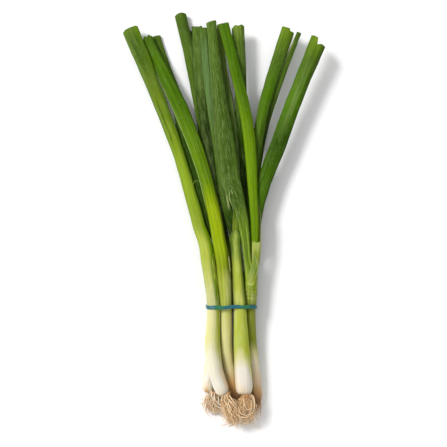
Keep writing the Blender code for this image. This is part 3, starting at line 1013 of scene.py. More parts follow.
leaves = [
    {
        "name": "onion_b_leaf_top", "seed": 1,
        "tipTop": [(-1, 1.8), (-0.8, 1.5), (-0.7, 0.4), (0, 0), (0.7, 0.1), (1, 0.9)],
        "tipUnder": [(-1, 1.0), (0, 0.4), (1, 0.9)],
        "shades": [(-16, "sheathLime"), (12, "limeGreen"), (36, "limeGreen"), (62, "freshGreen"),
                   (95, "leafGreen"), (138, "leafGreen"), (150, "freshGreen")],
        "look": {"leftPaintedShading": ("dustAndSheenGreen", 0.3), "rightPaintedShading": ("vividGreen", 0.75), "bloom": 0.2,
                 "flecks": 0.4, "streaks": 1.0, "streakShade": 0.6,
                 # a painted highlight down the middle, and painted light coming through the right side
                 "lines": [stripe(0.48, 0.16, "limeGreen", 0.4, 0, 125, 30),
                           stripe(0.67, 0.15, "vividGreen", 0.95, -66, 10, 12)]},
    },
    {
        "name": "onion_b_leaf_under", "seed": 2, "outer": False,
        "shades": [(-26, "neckGreen"), (-16, "paintedShadowGreen"), (10, "deepGreen"), (60, "deepGreen"),
                   (140, "leafGreen")],
    },
    {
        "name": "onion_c_leaf_top", "seed": 3,
        "tipTop": [(-1, 0.6), (-0.85, 0), (-0.6, 0.2), (-0.5, 1.6), (-0.35, 1.5), (-0.25, 0.1),
                   (0.05, 0.1), (0.15, 1.4), (0.3, 1.3), (0.4, 0.2), (0.7, 0.4), (0.8, 1.7), (1, 2)],
        "tipUnder": [(-1, 1.6), (1, 1.9)],
        "shades": [(-46, "sheathLime"), (-34, "neckGreen"), (-20, "brightLime"), (10, "brightLime"),
                   (30, "vividGreen"), (90, "grassGreen"), (120, "grassGreen"), (150, "leafGreen")],
        "creases": [furrow(0.3, 0.035, -0.35, 5, 150),
                    furrow(0.36, 0.03, 0.3, 5, 150)],
        "look": {"rightPaintedShading": ("deepGreen", 0.55), "leftPaintedShading": ("leafGreen", 0.4), "streaks": 1.0,
                 # the first line is a painted highlight along the raised ridge at the left
                 "lines": [stripe(0.3, 0.03, "dustAndSheenGreen", 0.9, 12, 145),
                           stripe(0.6, 0.12, "strawPale", 0.4, -64, -34, 10)]},
    },
    {
        "name": "onion_c_leaf_under", "seed": 4, "outer": False,
        "tipTop": [(-1, 0.3), (-0.7, 1.3), (0.7, 1.5), (1, 0.4)],
        "tipUnder": [(-1, 0.3), (-0.5, 0), (-0.3, 0.5), (0, 0.1), (0.4, 0.6), (0.7, 0), (1, 0.4)],
        # mostly painted shadow, as it lies in shade under the other leaves
        "shades": [(-38, "neckGreen"), (-24, "paintedShadowGreen"), (30, "paintedShadowGreen"), (70, "paintedShadowGreen"),
                   (110, "mossGreen"), (145, "leafGreen")],
        "look": {"leftPaintedShading": ("paintedShadowGreen", 0.5), "bloom": 0.3},
    },
    {
        "name": "onion_a_leaf_long", "seed": 5,
        "tipTop": [(-1, 1.6), (-0.6, 0.5), (0, 0), (0.5, 0.3), (0.8, 1.0), (1, 1.6)],
        "tipUnder": [(-1, 1.9), (-0.5, 1.0), (0.5, 0.8), (1, 1.8)],
        "shades": [(-30, "neckGreen"), (-12, "paintedShadowGreen"), (30, "deepGreen"), (90, "leafGreen"),
                   (130, "leafGreen"), (148, "mossGreen"), (156, "leafGreen")],
        "look": {"leftPaintedShading": ("leafGreen", 0.6), "rightPaintedShading": ("deepGreen", 0.7),
                 # a painted highlight along the right of the top
                 "lines": [stripe(0.56, 0.06, "dustAndSheenGreen", 0.4, 60, 140, 20)]},
    },
    {
        "name": "onion_a_leaf_under", "seed": 6, "outer": False,
        "shades": [(-30, "neckGreen"), (0, "leafGreen"), (60, "deepGreen"), (140, "deepGreen")],
    },
    {
        "name": "onion_d_leaf_left", "seed": 7, "outer": False,
        "shades": [(-20, "stubGreen"), (-8, "paintedShadowGreen"), (6, "deepGreen"), (16, "mossGreen"),
                   (60, "mossGreen"), (90, "blueGreen"), (130, "blueGreen"), (146, "leafGreen")],
        "creases": [furrow(0.5, 0.08, 0.5, 118, 142)],
        "wrinkles": {"from": 122, "to": 134, "pitch": 3.1, "depth": 0.1},
        "look": {"leftPaintedShading": ("mossGreen", 0.4), "bloom": 0.15, "flecks": 0.4, "fleckLong": 16.0,
                 "fleckSize": 0.24,
                 "lines": [stripe(0.56, 0.05, "rimHighlightGreen", 0.5, 8, 26)]},
    },
    {
        "name": "onion_d_leaf_right", "seed": 8, "outer": False,
        "shades": [(-20, "stubGreen"), (-10, "neckGreen"), (8, "leafGreen"), (40, "deepGreen"),
                   (100, "mossGreen"), (150, "tipGreen")],
        "look": {"rightPaintedShading": ("dustAndSheenGreen", 0.5), "bloom": 0.35},
    },
    {
        "name": "onion_d_leaf_short", "seed": 9, "blend": 10, "along": 90,
        "dome": 8, "wall": 0.5,
        "shades": [(-34, "sheathLime"), (-20, "stubGreen"), (-4, "stubGreen")],
        "girth": [(-24, 1), (-14, 1.15), (-6, 1.45)],
        "look": {"leftPaintedShading": ("paintedShadowGreen", 0.85), "rightPaintedShading": ("grassGreen", 0.9),
                 "lines": [stripe(0.5, 0.07, "collarPale", 0.65, -40, -6)]},
    },
    {
        "name": "onion_e_leaf_wide", "seed": 10, "around": 80,
        "tipTop": [(-1, 1.4), (-0.6, 0.9), (0.3, 0.2), (0.8, 0), (1, 0.3)],
        "tipUnder": [(-1, 1.8), (0.3, 0.8), (1, 0.6)],
        "wrinkles": {"from": -62, "to": -45, "pitch": 2.6, "depth": 0.3},
        "shades": [(-64, "oliveGreen"), (-58, "neckGreen"), (-38, "limeGreen"), (-26, "freshGreen"),
                   (-4, "freshGreen"), (14, "mossGreen"), (90, "mossGreen"), (140, "leafGreen")],
        "creases": [furrow(0.42, 0.03, 0.45, -44, -2),
                    furrow(0.55, 0.03, 0.45, -40, 4),
                    furrow(0.62, 0.04, 0.35, 20, 140),
                    furrow(0.4, 0.05, 0.3, 40, 150)],
        "look": {"leftPaintedShading": ("dustAndSheenGreen", 0.2), "rightPaintedShading": ("deepGreen", 0.45), "bloom": 0.08,
                 "flecks": 0.45, "fleckFrom": 0.54, "fleckSize": 0.24, "fleckLong": 22.0, "streaks": 1.0,
                 "streakShade": 0.5,
                 "lines": [stripe(0.26, 0.03, "rimHighlightGreen", 0.7, 8, 26),
                           stripe(0.34, 0.05, "sheathLime", 0.8, -64, -44),
                           stripe(0.38, 0.02, "collarPale", 0.4, -48, -4),
                           stripe(0.58, 0.018, "collarPale", 0.35, -44, 0)]},
    },
    {
        "name": "onion_e_leaf_bright", "seed": 11, "outer": False,
        "inside": 0.5, "girth": [(-24, 0.6), (-15, 0.8), (20, 0.87), (45, 1)],
        "shift": [(-46, 0), (-16, -0.9), (15, -0.5), (40, 0)],
        "tipTop": [(-1, 0.2), (0, 0.4), (1, 0.9)],
        "dent": 0.2,
        "shades": [(-30, "oliveGreen"), (-12, "vividGreen"), (20, "vividGreen"), (60, "vividGreen"),
                   (110, "grassGreen"), (150, "grassGreen")],
        "look": {"leftPaintedShading": ("freshGreen", 0.4), "rightPaintedShading": ("grassGreen", 0.5), "bloom": 0.05,
                 "streaks": 1.0, "streakShade": 0.62, "patches": 0.7},
    },
    {
        "name": "onion_f_leaf_middle", "seed": 12, "outer": False,
        "tipTop": [(-1, 2.4), (-0.75, 2.2), (-0.7, 1.2), (-0.3, 0.1), (0.05, 0.9), (0.45, 0),
                   (0.8, 0.3), (1, 1.2)],
        "tipUnder": [(-1, 2.6), (0, 1.2), (1, 1.2)],
        "shades": [(-40, "oliveGreen"), (0, "paintedShadowGreen"), (60, "deepGreen"), (100, "mossGreen"),
                   (135, "leafGreen"), (150, "tipGreen")],
        "look": {"rightPaintedShading": ("paintedShadowGreen", 0.6), "bloom": 0.25},
    },
    {
        "name": "onion_f_leaf_right", "seed": 13,
        "tipTop": [(-1, 0.5), (-0.8, 0.05), (0.25, 0), (0.33, 1.9), (0.8, 2.0), (1, 2.4)],
        "tipUnder": [(-1, 0.8), (0.25, 0.6), (0.33, 2.2), (1, 2.4)],
        "shades": [(-30, "oliveGreen"), (20, "grassGreen"), (60, "leafGreen"), (100, "grassGreen"),
                   (125, "leafGreen"), (150, "freshGreen")],
        "creases": [furrow(0.6, 0.05, 0.5, 50, 150)],
        "look": {"leftPaintedShading": ("leafGreen", 0.5), "rightPaintedShading": ("deepGreen", 0.7), "streaks": 1.0},
    },
    {
        "name": "onion_f_leaf_thin", "seed": 14, "outer": False,
        "shades": [(-40, "oliveGreen"), (20, "freshGreen"), (60, "paintedShadowGreen"), (110, "leafGreen"),
                   (144, "mossGreen")],
        "look": {"lines": [stripe(0.36, 0.08, "rimHighlightGreen", 0.6, 40, 138)]},
    },
    {
        "name": "onion_f_leaf_far_right", "seed": 15, "outer": False,
        "tipTop": [(-1, 0.6), (-0.6, 0), (-0.15, 0.5), (0, 5.5), (0.15, 4.6), (0.5, 3.8), (1, 4.8)],
        "tipUnder": [(-1, 0.8), (-0.6, 0.4), (-0.15, 0.8), (0, 5.5), (0.15, 4.8), (0.5, 4), (1, 5)],
        "shades": [(-30, "oliveGreen"), (10, "grassGreen"), (60, "deepGreen"), (90, "grassGreen"),
                   (120, "leafGreen"), (140, "freshGreen")],
        "creases": [furrow(0.46, 0.05, -0.4, 40, 134)],
        "look": {"leftPaintedShading": ("leafGreen", 0.4), "rightPaintedShading": ("deepGreen", 0.6),
                 # a painted highlight along the raised ridge down the middle
                 "lines": [stripe(0.5, 0.07, "dustAndSheenGreen", 0.4, 60, 126, 30)]},
    },
]
for leaf in leaves:
    makeLeaf(leaf)
print("leaves grown:", len(leaves))


# stems: the bulb and the white sheaths rolled round each other
stemBasics = {
    **leafBasics, "around": 72, "along": 130, "squareness": 0.97, "ribs": 18, "ribDepth": 0.1,
    "dent": 0.35, "dentLength": 12,
    "rounded": 1.5,           # millimetres over which both ends draw in
}


def makeStem(changes):
    stem = {**stemBasics, **changes}
    foot = sheathShades[onionOf(stem["name"])]
    look = {**stemLook, "seed": stem["seed"], "shades": foot, **stem["look"]}
    course = dict(courses[stem["name"]])
    course["halfWidth"] = course["halfWidth"] * overY(course, stem["girth"])
    piece = growBlade(stem["name"] + "_skin", stem, course, skinMaterial(stem["name"] + "_white", look))
    order, grid, _ = readGrid(piece.data)
    reach = stem["rounded"] * mm
    grid = roundEnd(roundEnd(grid, reach), reach, atTip=False)
    writeGrid(piece.data, order, grid)
    weld(piece.data)
    settle(piece, "white_stem", stem["name"])


stems = [
    {"name": "onion_a_stem", "seed": 21, "girth": [(-104, 1), (-92, 1.25), (-40, 1.25)], "look": {
        "lines": [stripe(0.33, 0.14, "strawPale", 0.5, -120, -60, 16)]}},
    {"name": "onion_b_stem", "seed": 22, "look": {
        # the first line is painted light coming through the stem's right side
        "lines": [stripe(0.68, 0.16, "paintedGlowLime", 0.95, -104, -20, 18),
                  stripe(0.68, 0.12, "skinPeach", 0.75, -132, -100, 10)]}},
    {"name": "onion_c_stem", "seed": 23, "look": {
        # the first line is painted light, paler where the stem lies in shade
        "lines": [stripe(0.42, 0.16, "strawPale", 0.6, -118, -50, 12),
                  stripe(0.7, 0.16, "skinBuff", 0.7, -126, -62, 12)]}},
    {"name": "onion_d_stem", "seed": 24, "look": {
        "lines": [stripe(0.3, 0.1, "skinPeach", 0.6, -132, -106, 8),
                  # painted light coming through the stem's right side
                  stripe(0.68, 0.16, "paintedGlowLime", 0.8, -104, -20, 10)]}},
    {"name": "onion_e_stem", "seed": 25, "look": {"tongue": 4, "lines": [
        stripe(0.5, 0.34, "oliveGreen", 0.6, -104, -50, 16)]}},
    {"name": "onion_f_stem", "seed": 26},
]
for stem in stems:
    makeStem(stem)
print("stems grown:", len(stems))


# loose sheath skins at the necks: thin patches of a stem's or a leaf's skin
sheathBasics = {
    **leafBasics, "along": 90, "around": 96, "ribDepth": 0.05, "dent": 0.3, "dentLength": 7,
    "wall": 0.22, "swell": 1.1, "lift": 0, "foot": [(0, 0), (1, 0)], "head": [(0, 0), (1, 0)],
}


def narrowRows(grid, around, edges):
    # keeps only the part of each row that lies between two places round the skin
    made = np.empty_like(grid)
    for i, row in enumerate(grid):
        y = row[:, 1].mean() / mm
        first = readPairs(y, [(height, start) for height, start, _ in edges])
        last = readPairs(y, [(height, stop) for height, _, stop in edges])
        made[i] = readAt(np.linspace(first, last, len(around)), around, row)
    return made


def shapeEnds(grid, foot, head):
    # cuts are (share across the patch, millimetres cut off that end)
    steps = np.linalg.norm(np.diff(grid, axis=0), axis=2).mean(axis=1)
    distance = np.concatenate([[0], np.cumsum(steps)])
    share = np.linspace(0, 1, grid.shape[1])
    low = readPairs(share, foot) * mm
    high = distance[-1] - readPairs(share, head) * mm
    made = np.empty_like(grid)
    for column in range(grid.shape[1]):
        wanted = low[column] + (high[column] - low[column]) * distance / distance[-1]
        made[:, column] = readAt(wanted, distance, grid[:, column])
    return made


def makeSheath(changes):
    patch = {**sheathBasics, **changes}
    course = leafGuide(patch)
    heights = course["spots"][:, 1] / mm
    wanted = np.linspace(patch["edges"][0][0], patch["edges"][-1][0], 60)
    part = {}
    for key in ("spots", "side"):
        part[key] = readAt(wanted, heights, course[key])
    for key in ("halfWidth", "halfHeight"):
        part[key] = np.interp(wanted, heights, course[key]) * patch["swell"] + patch["lift"] * mm
    look = {**stemLook, "tongue": 0, "seed": patch["seed"], "shades": patch["shades"], **patch["look"]}
    piece = growBlade(patch["name"], patch, part, skinMaterial(patch["name"] + "_pale", look))
    order, grid, around = readGrid(piece.data)
    if patch["wrinkles"]:
        grid = wrinkle(grid, around, patch["wrinkles"])
    grid = shapeEnds(narrowRows(grid, around, patch["edges"]), patch["foot"], patch["head"])
    writeGrid(piece.data, order, grid)
    weld(piece.data)
    addWall(piece, patch["wall"] * mm)
    settle(piece, "white_stem")


sheaths = [
    {
        "name": "onion_e_collar", "blade": "onion_e_leaf_bright", "seed": 31,
        "edges": [(-61, 0.42, 0.98), (-47, 0.4, 0.98), (-34, 0.42, 0.98), (-16, 0.3, 0.98),
                  (12, 0.3, 0.98)],
        "head": [(0, 24), (0.12, 26), (0.3, 27.5), (0.5, 26.5), (0.6, 20), (0.68, 8), (0.75, 0), (1, 4)],
        "wrinkles": {"from": -60, "to": -47, "pitch": 2.6, "depth": 0.3},
        "swell": 1.05, "lift": 0.15,
        "shades": [(-62, "oliveGreen"), (-58, "neckGreen"), (-36, "limeGreen"), (-24, "neckGreen"),
                   (-18, "collarPale"), (6, "stubGreen")],
        "look": {"rightPaintedShading": ("mossGreen", 0.6), "streaks": 1.0, "streakShade": 0.55,
                 "patches": 1.0, "patchSize": 3, "patchTint": (0.72, 0.8, 0.4),
                 "spots": [{"around": 0.62, "y": -59.5, "squeeze": 40.0, "size": 0.07,
                            "shade": "soilBrown", "strength": 0.8}]},
    },
    {
        "name": "onion_e_flap", "blade": "onion_e_leaf_bright", "seed": 32,
        "swell": 1.12, "lift": 0.25,
        "edges": [(-47, 0.45, 0.53), (-45.5, 0.4, 0.57), (-40, 0.38, 0.6), (-34, 0.41, 0.66),
                  (-29, 0.44, 0.57), (-24, 0.45, 0.48)],
        "shades": [(-47.5, "collarPale"), (-46, "collarPale"), (-45, "neckGreen"), (-36, "freshGreen"),
                   (-24, "freshGreen")],
        "look": {"patches": 0.8, "streaks": 0.9, "patchTint": (0.8, 0.86, 0.5),
                 "lines": [stripe(0.98, 0.12, "strawPale", 0.7, -42, -23, 3)]},
    },
    {
        # a patch on the wide leaf where it opens in a V: its dark green is painted shade for the shaded
        # inside, and its pale rims are painted highlights
        "name": "onion_e_fold", "blade": "onion_e_leaf_wide", "seed": 34,
        "swell": 1.03,
        "edges": [(-2, 0.27, 0.3), (10, 0.26, 0.38), (18, 0.29, 0.45), (25.5, 0.455, 0.47)],
        "shades": [(0, "leafGreen"), (10, "deepGreen"), (26, "deepGreen")],
        "look": {"streaks": 0.3, "patches": 0.3, "flecks": 0, "bloom": 0,
                 "lines": [stripe(1.0, 0.24, "rimHighlightGreen", 0.9, 0, 29, 3),
                           stripe(0.0, 0.26, "rimHighlightGreen", 0.9, 8, 29, 3)]},
    },
    {
        "name": "onion_c_flap", "blade": "onion_c_leaf_top", "seed": 33,
        "swell": 1.05,
        "edges": [(-38, 0.68, 0.74), (-34, 0.66, 0.78), (-30, 0.67, 0.76), (-26, 0.69, 0.72)],
        "foot": [(0, 0), (1, 3)],
        "shades": [(-40, "sheathLime"), (-34, "strawGreen"), (-28, "strawPale")],
        "look": {"streaks": 0.2},
    },
]
for patch in sheaths:
    makeSheath(patch)
print("loose sheaths made:", len(sheaths))


# roots
strandRule = {
    "thickness": (0.55, 1.15),       # shares of the given thickness, from strand to strand
    "taper": 0.6,                    # share of it that a strand loses by its end
    "curlSpeed": 9.0,                # radians that a strand's curl turns at most, either way
    "curlRare": 1.6,                 # higher means fewer strands curl strongly
    "curlGrowth": 1.4,               # higher keeps the curl nearer to a strand's end
    "spreadEarly": 0.7,              # under 1, the strands part soon after the root plate
}


def buildRootTree():
    tree = bpy.data.node_groups.new("rootStrands", "GeometryNodeTree")
    addSockets(
        tree,
        [
            ("Course", "Geometry", None),
            ("Strands", "Int", 50),
            ("Steps", "Int", 18),
            ("Sides", "Int", 6),
            ("Shortest", "Float", 0.5),
            ("Longest", "Float", 1.0),
            ("Start spread", "Float", 0.5),
            ("End spread", "Float", 1.0),
            ("Wave", "Float", 0.0015),
            ("Waves", "Float", 2.5),
            ("Curl", "Float", 0.002),
            ("Lift", "Float", 0.0),
            ("Paleness", "Float", 0.0),
            ("Thickness", "Float", 0.0006),
            ("Floor", "Float", 0.0004),
            ("Seed", "Int", 0),
            ("Finish", "Material", None),
        ],
        [("Geometry", "Geometry", None)],
    )
    start = addNode(tree, "NodeGroupInput").outputs
    guide = addNode(tree, "GeometryNodeMeshToCurve", {"Mesh": start["Course"]}).outputs[0]
    points = addNode(tree, "GeometryNodePoints", {"Count": start["Strands"]}).outputs[0]
    points = storeValue(tree, points, "strand", addNode(
        tree, "GeometryNodeInputIndex").outputs[0], "INT")
    line = addNode(tree, "GeometryNodeCurvePrimitiveLine").outputs[0]
    line = addNode(tree, "GeometryNodeResampleCurve", {
        "Curve": line, "Count": start["Steps"]}).outputs[0]
    strands = addNode(tree, "GeometryNodeInstanceOnPoints", {
        "Points": points, "Instance": line}).outputs[0]
    strands = addNode(tree, "GeometryNodeRealizeInstances", {"Geometry": strands}).outputs[0]

    strand = readValue(tree, "strand", "INT")
    along = addNode(tree, "GeometryNodeSplineParameter").outputs["Factor"]

    def draw(low, high, step):
        inputs = {2: low, 3: high, "ID": strand, "Seed": plus(tree, start["Seed"], step)}
        return addNode(tree, "FunctionNodeRandomValue", inputs, data_type="FLOAT").outputs[1]

    turn = draw(0.0, 2 * math.pi, 1)
    away = maths(tree, "SQRT", draw(0.0, 1.0, 2))
    reach = draw(start["Shortest"], start["Longest"], 3)
    phase = draw(0.0, 50.0, 4)
    thick = draw(*strandRule["thickness"], 5)
    curlTurn = draw(0.0, 2 * math.pi, 7)
    curlSpeed = draw(-strandRule["curlSpeed"], strandRule["curlSpeed"], 8)
    curlSize = times(tree, maths(tree, "POWER", draw(0.0, 1.0, 9), strandRule["curlRare"]), start["Curl"])
    factor = times(tree, along, reach)
    parting = maths(tree, "POWER", along, strandRule["spreadEarly"])
    inputs = {0: parting, 2: start["Start spread"], 3: start["End spread"]}
    spread = addNode(tree, "ShaderNodeMix", inputs, data_type="FLOAT").outputs[0]
    out = times(tree, away, spread)
    wavePlace = joinXyz(tree, phase, times(tree, factor, start["Waves"]), 0.0)
    wobble = vectors(tree, "SUBTRACT", cloud(tree, wavePlace, 1.0)["Color"], (0.5, 0.5, 0.5))
    growth = times(tree, start["Wave"], maths(tree, "MINIMUM", times(tree, along, 4.0), 1.0))
    wobble = vectors(tree, "SCALE", wobble, growth)
    curlAngle = maths(tree, "MULTIPLY_ADD", along, curlSpeed, curlTurn)
    curlOut = times(tree, curlSize, maths(tree, "POWER", along, strandRule["curlGrowth"]))
    curl = vectors(tree, "SCALE", joinXyz(
        tree, maths(tree, "COSINE", curlAngle), maths(tree, "SINE", curlAngle), times(
            tree, maths(tree, "SINE", times(tree, curlAngle, 0.7)), 0.5)), curlOut)
    wobble = vectors(tree, "ADD", wobble, vectors(tree, "ADD", curl, joinXyz(
        tree, 0.0, 0.0, start["Lift"])))

    centre = guideSpot(tree, guide, factor)
    side = sampleGuide(tree, guide, "side", factor, "FLOAT_VECTOR")
    halfWidth = sampleGuide(tree, guide, "halfWidth", factor)
    halfHeight = sampleGuide(tree, guide, "halfHeight", factor)
    wide = times(tree, times(tree, maths(tree, "COSINE", turn), out), halfWidth)
    tall = times(tree, times(tree, maths(tree, "SINE", turn), out), halfHeight)
    spot = vectors(tree, "ADD", centre, vectors(tree, "SCALE", side, wide))
    spot = vectors(tree, "ADD", vectors(tree, "ADD", spot, joinXyz(tree, 0.0, 0.0, tall)), wobble)
    parts = addNode(tree, "ShaderNodeSeparateXYZ", {0: spot}).outputs
    spot = joinXyz(tree, parts["X"], parts["Y"], maths(tree, "MAXIMUM", parts["Z"], start["Floor"]))
    strands = addNode(tree, "GeometryNodeSetPosition", {
        "Geometry": strands, "Position": spot}).outputs[0]
    strands = storeValue(tree, strands, "along", along)
    strands = storeValue(tree, strands, "tone", draw(start["Paleness"], 1.0, 6))
    taper = maths(tree, "MULTIPLY_ADD", along, -strandRule["taper"], 1.0)
    girth = times(tree, times(tree, thick, taper), times(tree, start["Thickness"], 0.5))
    profile = addNode(tree, "GeometryNodeCurvePrimitiveCircle", {
        "Resolution": start["Sides"], "Radius": 1.0}).outputs[0]
    mesh = addNode(tree, "GeometryNodeCurveToMesh", {
        "Curve": strands, "Profile Curve": profile, "Scale": girth, "Fill Caps": True}).outputs[0]
    return finishTree(tree, mesh, start["Finish"])


def rootMaterial(name, look):
    material, tree, surface, place = startMaterial(name)
    tone = addNode(tree, "ShaderNodeAttribute", attribute_name="tone").outputs["Fac"]
    along = addNode(tree, "ShaderNodeAttribute", attribute_name="along").outputs["Fac"]
    colour = mixColour(tree, tone, shades[look["dark"]], shades[look["light"]])
    colour = mixColour(tree, times(tree, along, 0.4), colour, shades[look["end"]])
    crown = fadeBetween(tree, along, look["crownReach"], 0.0)
    colour = mixColour(tree, times(tree, crown, look["crown"]), colour, shades["rootAmber"])
    soil = useGroup(tree, patches, Place=place, Size=2.2 * mm, Long=1.0, Low=0.5, High=0.62,
                    Shift=4.0)["Mask"]
    colour = mixColour(tree, times(tree, soil, look["soil"]), colour, shades["rootBrown"])
    tree.links.new(colour, surface.inputs["Base Color"])
    surface.inputs["Roughness"].default_value = 0.6
    letLightIn(surface, 0.4, (1.0, 0.62, 0.3), 0.8)
    bumps = addNode(tree, "ShaderNodeTexNoise", {"Vector": place, "Scale": 1800.0, "Detail": 2.0})
    addBump(tree, surface, bumps.outputs[0], 0.4, 0.1)
    return material


def smoothThrough(points, count):
    # a smooth line through a few points
    points = np.array(points, float)
    slopes = np.gradient(points, axis=0)
    place = np.linspace(0, len(points) - 1, count)
    low = np.minimum(place.astype(int), len(points) - 2)
    t = (place - low)[:, None]
    start, stop = points[low], points[low + 1]
    return (start + (stop - start) * (3 * t ** 2 - 2 * t ** 3)
            + slopes[low] * (t ** 3 - 2 * t ** 2 + t) + slopes[low + 1] * (t ** 3 - t ** 2))


rootTree = buildRootTree()
rootBasics = {
    "into": 2.6,              # millimetres that the strands start inside the bulb
    "fullBelow": 3.0,         # and the strands leave the bulb as widely as the tuft is this far below
    "dark": "rootAmber", "light": "rootSand", "end": "rootSand",
    "crown": 0.3, "crownReach": 0.25, "soil": 0.12,
    "layers": [
        {"label": "strands", "count": 56, "thickness": 0.8, "wave": 4.5, "curl": 7.0, "start": 0.85,
         "end": 1.4, "shortest": 0.45, "longest": 1.0, "lift": 0, "paleness": 0},
        # darker strands inside the tuft: their amber is partly the roots' own and partly painted shade
        # within the tuft
        {"label": "shadedCore", "count": 44, "thickness": 0.9, "wave": 3, "curl": 2.5, "start": 0.8,
         "end": 1.1, "shortest": 0.5, "longest": 0.95, "lift": -0.5, "paleness": -4},
        {"label": "hairs", "count": 34, "thickness": 0.34, "wave": 7, "curl": 9.0, "start": 0.9,
         "end": 1.6, "shortest": 0.5, "longest": 1.0, "lift": 0, "paleness": 0.5},
        {"label": "fringe", "count": 60, "thickness": 0.55, "wave": 1.5, "curl": 1.0, "start": 0.95,
         "end": 1.25, "shortest": 0.34, "longest": 0.6, "lift": 0.8, "paleness": -0.5},
    ],
    "placed": [],             # single strands: millimetres right, up the bunch and above the root plate
    "placedThickness": 1.2,
    "guideSteps": 60, "steps": 22, "waves": 5.0,
}


def joinPieces(keeper, others):
    # adds the other pieces' meshes to the keeper's
    model = bmesh.new()
    for piece in (keeper, *others):
        model.from_mesh(piece.data)
    model.to_mesh(keeper.data)
    model.free()
    for piece in others:
        bpy.data.objects.remove(piece)


def placeStrand(name, spots, thickness, seed, finish):
    none = np.zeros(len(spots))
    side = np.tile((1.0, 0.0, 0.0), (len(spots), 1))
    guide = makeGuide(name + "_guide", spots, {"side": side, "halfWidth": none, "halfHeight": none})
    return growMesh(name, rootTree, guide, {
        "Strands": 1, "Steps": 36, "Sides": 7, "Shortest": 1.0, "Longest": 1.0, "Wave": 0.5 * mm,
        "Waves": 6.0, "Curl": 0.0, "Lift": 0.0, "Paleness": 0.8, "Thickness": thickness * mm,
        "Seed": seed, "Finish": finish})


def makeRoots(changes):
    tuft = {**rootBasics, **changes}
    course = courses[tuft["name"]]
    steps = np.linspace(0, course["length"] + tuft["into"] * mm, tuft["guideSteps"])[::-1]
    line = alongCourse(course, steps)
    full = alongCourse(course, np.minimum(steps, course["length"] - tuft["fullBelow"] * mm))
    values = {"side": -line["side"], "halfWidth": full["halfWidth"], "halfHeight": full["halfHeight"]}
    finish = rootMaterial(tuft["name"] + "_tan", tuft)
    made = []
    for i, layer in enumerate(tuft["layers"]):
        name = tuft["name"] + "_" + layer["label"]
        guide = makeGuide(name + "_guide", line["spots"], values)
        made.append(growMesh(name, rootTree, guide, {
            "Strands": layer["count"], "Steps": tuft["steps"],
            "Sides": 6 if layer["thickness"] > 0.5 else 4, "Shortest": layer["shortest"],
            "Longest": layer["longest"], "Start spread": layer["start"], "End spread": layer["end"],
            "Wave": layer["wave"] * mm, "Waves": tuft["waves"], "Curl": layer["curl"] * mm,
            "Lift": layer["lift"] * mm, "Paleness": layer["paleness"],
            "Thickness": layer["thickness"] * mm, "Seed": tuft["seed"] + i * 100, "Finish": finish}))
    plate = course["spots"][-1]
    for i, points in enumerate(tuft["placed"]):
        name = tuft["name"] + "_placed_" + str(i)
        spots = plate + smoothThrough(points, 40) * mm
        made.append(placeStrand(name, spots, tuft["placedThickness"], tuft["seed"] + i, finish))
    joinPieces(made[0], made[1:])
    settle(made[0], "root_fibre", tuft["name"])


roots = [
    {"name": "onion_a_roots", "seed": 41, "light": "rootPale", "fullBelow": 1.0, "crown": 0.4,
     "crownReach": 0.3, "soil": 0.1, "placed": [
         [(-5, 2, 1), (-7.5, -3, -1), (-6.5, -8, -2.5), (-3, -11.5, -3)],
         [(-4, 0, 1), (-6, -6, -1.5), (-3.5, -11, -2.5), (0.5, -14, -3)],
         [(-3, -1, 2), (-4, -7, 0), (-0.5, -12.5, -2), (4, -13.5, -2.5)],
         [(-2.5, 4, 2), (-1, -4.5, 3), (3.8, -9, 3.5), (9, -8.5, 4), (12, -4, 5), (12, 0, 6)],
         [(3, -0.5, 4), (3.8, -6.5, 5), (7.5, -9, 5), (11, -5.5, 6)],
         [(-5.5, -4, 0), (-6.5, -11, -2), (-2, -13.5, -3), (3, -11, -3)],
         [(0, 2, 4), (0.6, -3, 5), (4, -6.5, 5.5), (8, -4, 6)]]},
    {"name": "onion_b_roots", "seed": 42, "placed": [
        [(0.5, 1.5, 1.5), (2.3, -1.5, 2.5), (6, -6.5, 2), (9.9, -11.8, 0.5), (12.5, -16.3, -1.5)],
        [(2, 2, 1.5), (3.4, 0.4, 2.5), (6.1, -3.4, 2.5), (8.6, -6.8, 1.5)],
        [(-0.5, 0, 1), (0, -2.7, 1.5), (0.8, -10.3, -1), (2.3, -17.9, -5)]]},
    {"name": "onion_c_roots", "seed": 43},
    {"name": "onion_d_roots", "seed": 44, "placed": [
        [(4, 2, 1), (6.5, 0, 1), (7.2, -6.2, 0.5), (5.7, -12.2, -1), (4.6, -16.9, -3)],
        [(-0.8, 0, 2), (-0.8, -3.2, 3), (1.5, -9.1, 2), (4.6, -7.6, 2.5), (4.6, -1.7, 3)],
        [(-9.9, -12.3, -3), (-7.6, -18.4, -5), (-3, -20.7, -5.5), (3, -19.1, -5), (6.1, -14.6, -3)],
        [(-6.1, -15.4, -2), (-0.8, -17.3, -3), (5.3, -16.1, -3)],
        [(-8.5, -9.5, 0), (-5, -14, 0), (1, -15, 0.5), (6, -11.5, 0)],
        [(-5, -7, 2), (-3, -12, 2.5), (2.5, -13, 2), (5, -8, 2)]]},
    {"name": "onion_e_roots", "seed": 45, "dark": "rootAmber", "light": "rootSand", "crown": 0.8,
     "crownReach": 0.7, "soil": 0.5, "into": 3.0, "layers": [
         {"label": "strands", "count": 16, "thickness": 0.7, "wave": 3, "curl": 3.0, "start": 0.8,
          "end": 1.1, "shortest": 0.4, "longest": 1.0, "lift": 0, "paleness": 0}]},
    {"name": "onion_f_roots", "seed": 46, "layers": [
         {"label": "hairs", "count": 16, "thickness": 0.4, "wave": 7, "curl": 6.0, "start": 0.9,
          "end": 1.5, "shortest": 0.55, "longest": 1.0, "lift": 0, "paleness": 0.6}]},
]
for tuft in roots:
    makeRoots(tuft)
print("roots grown:", len(roots))


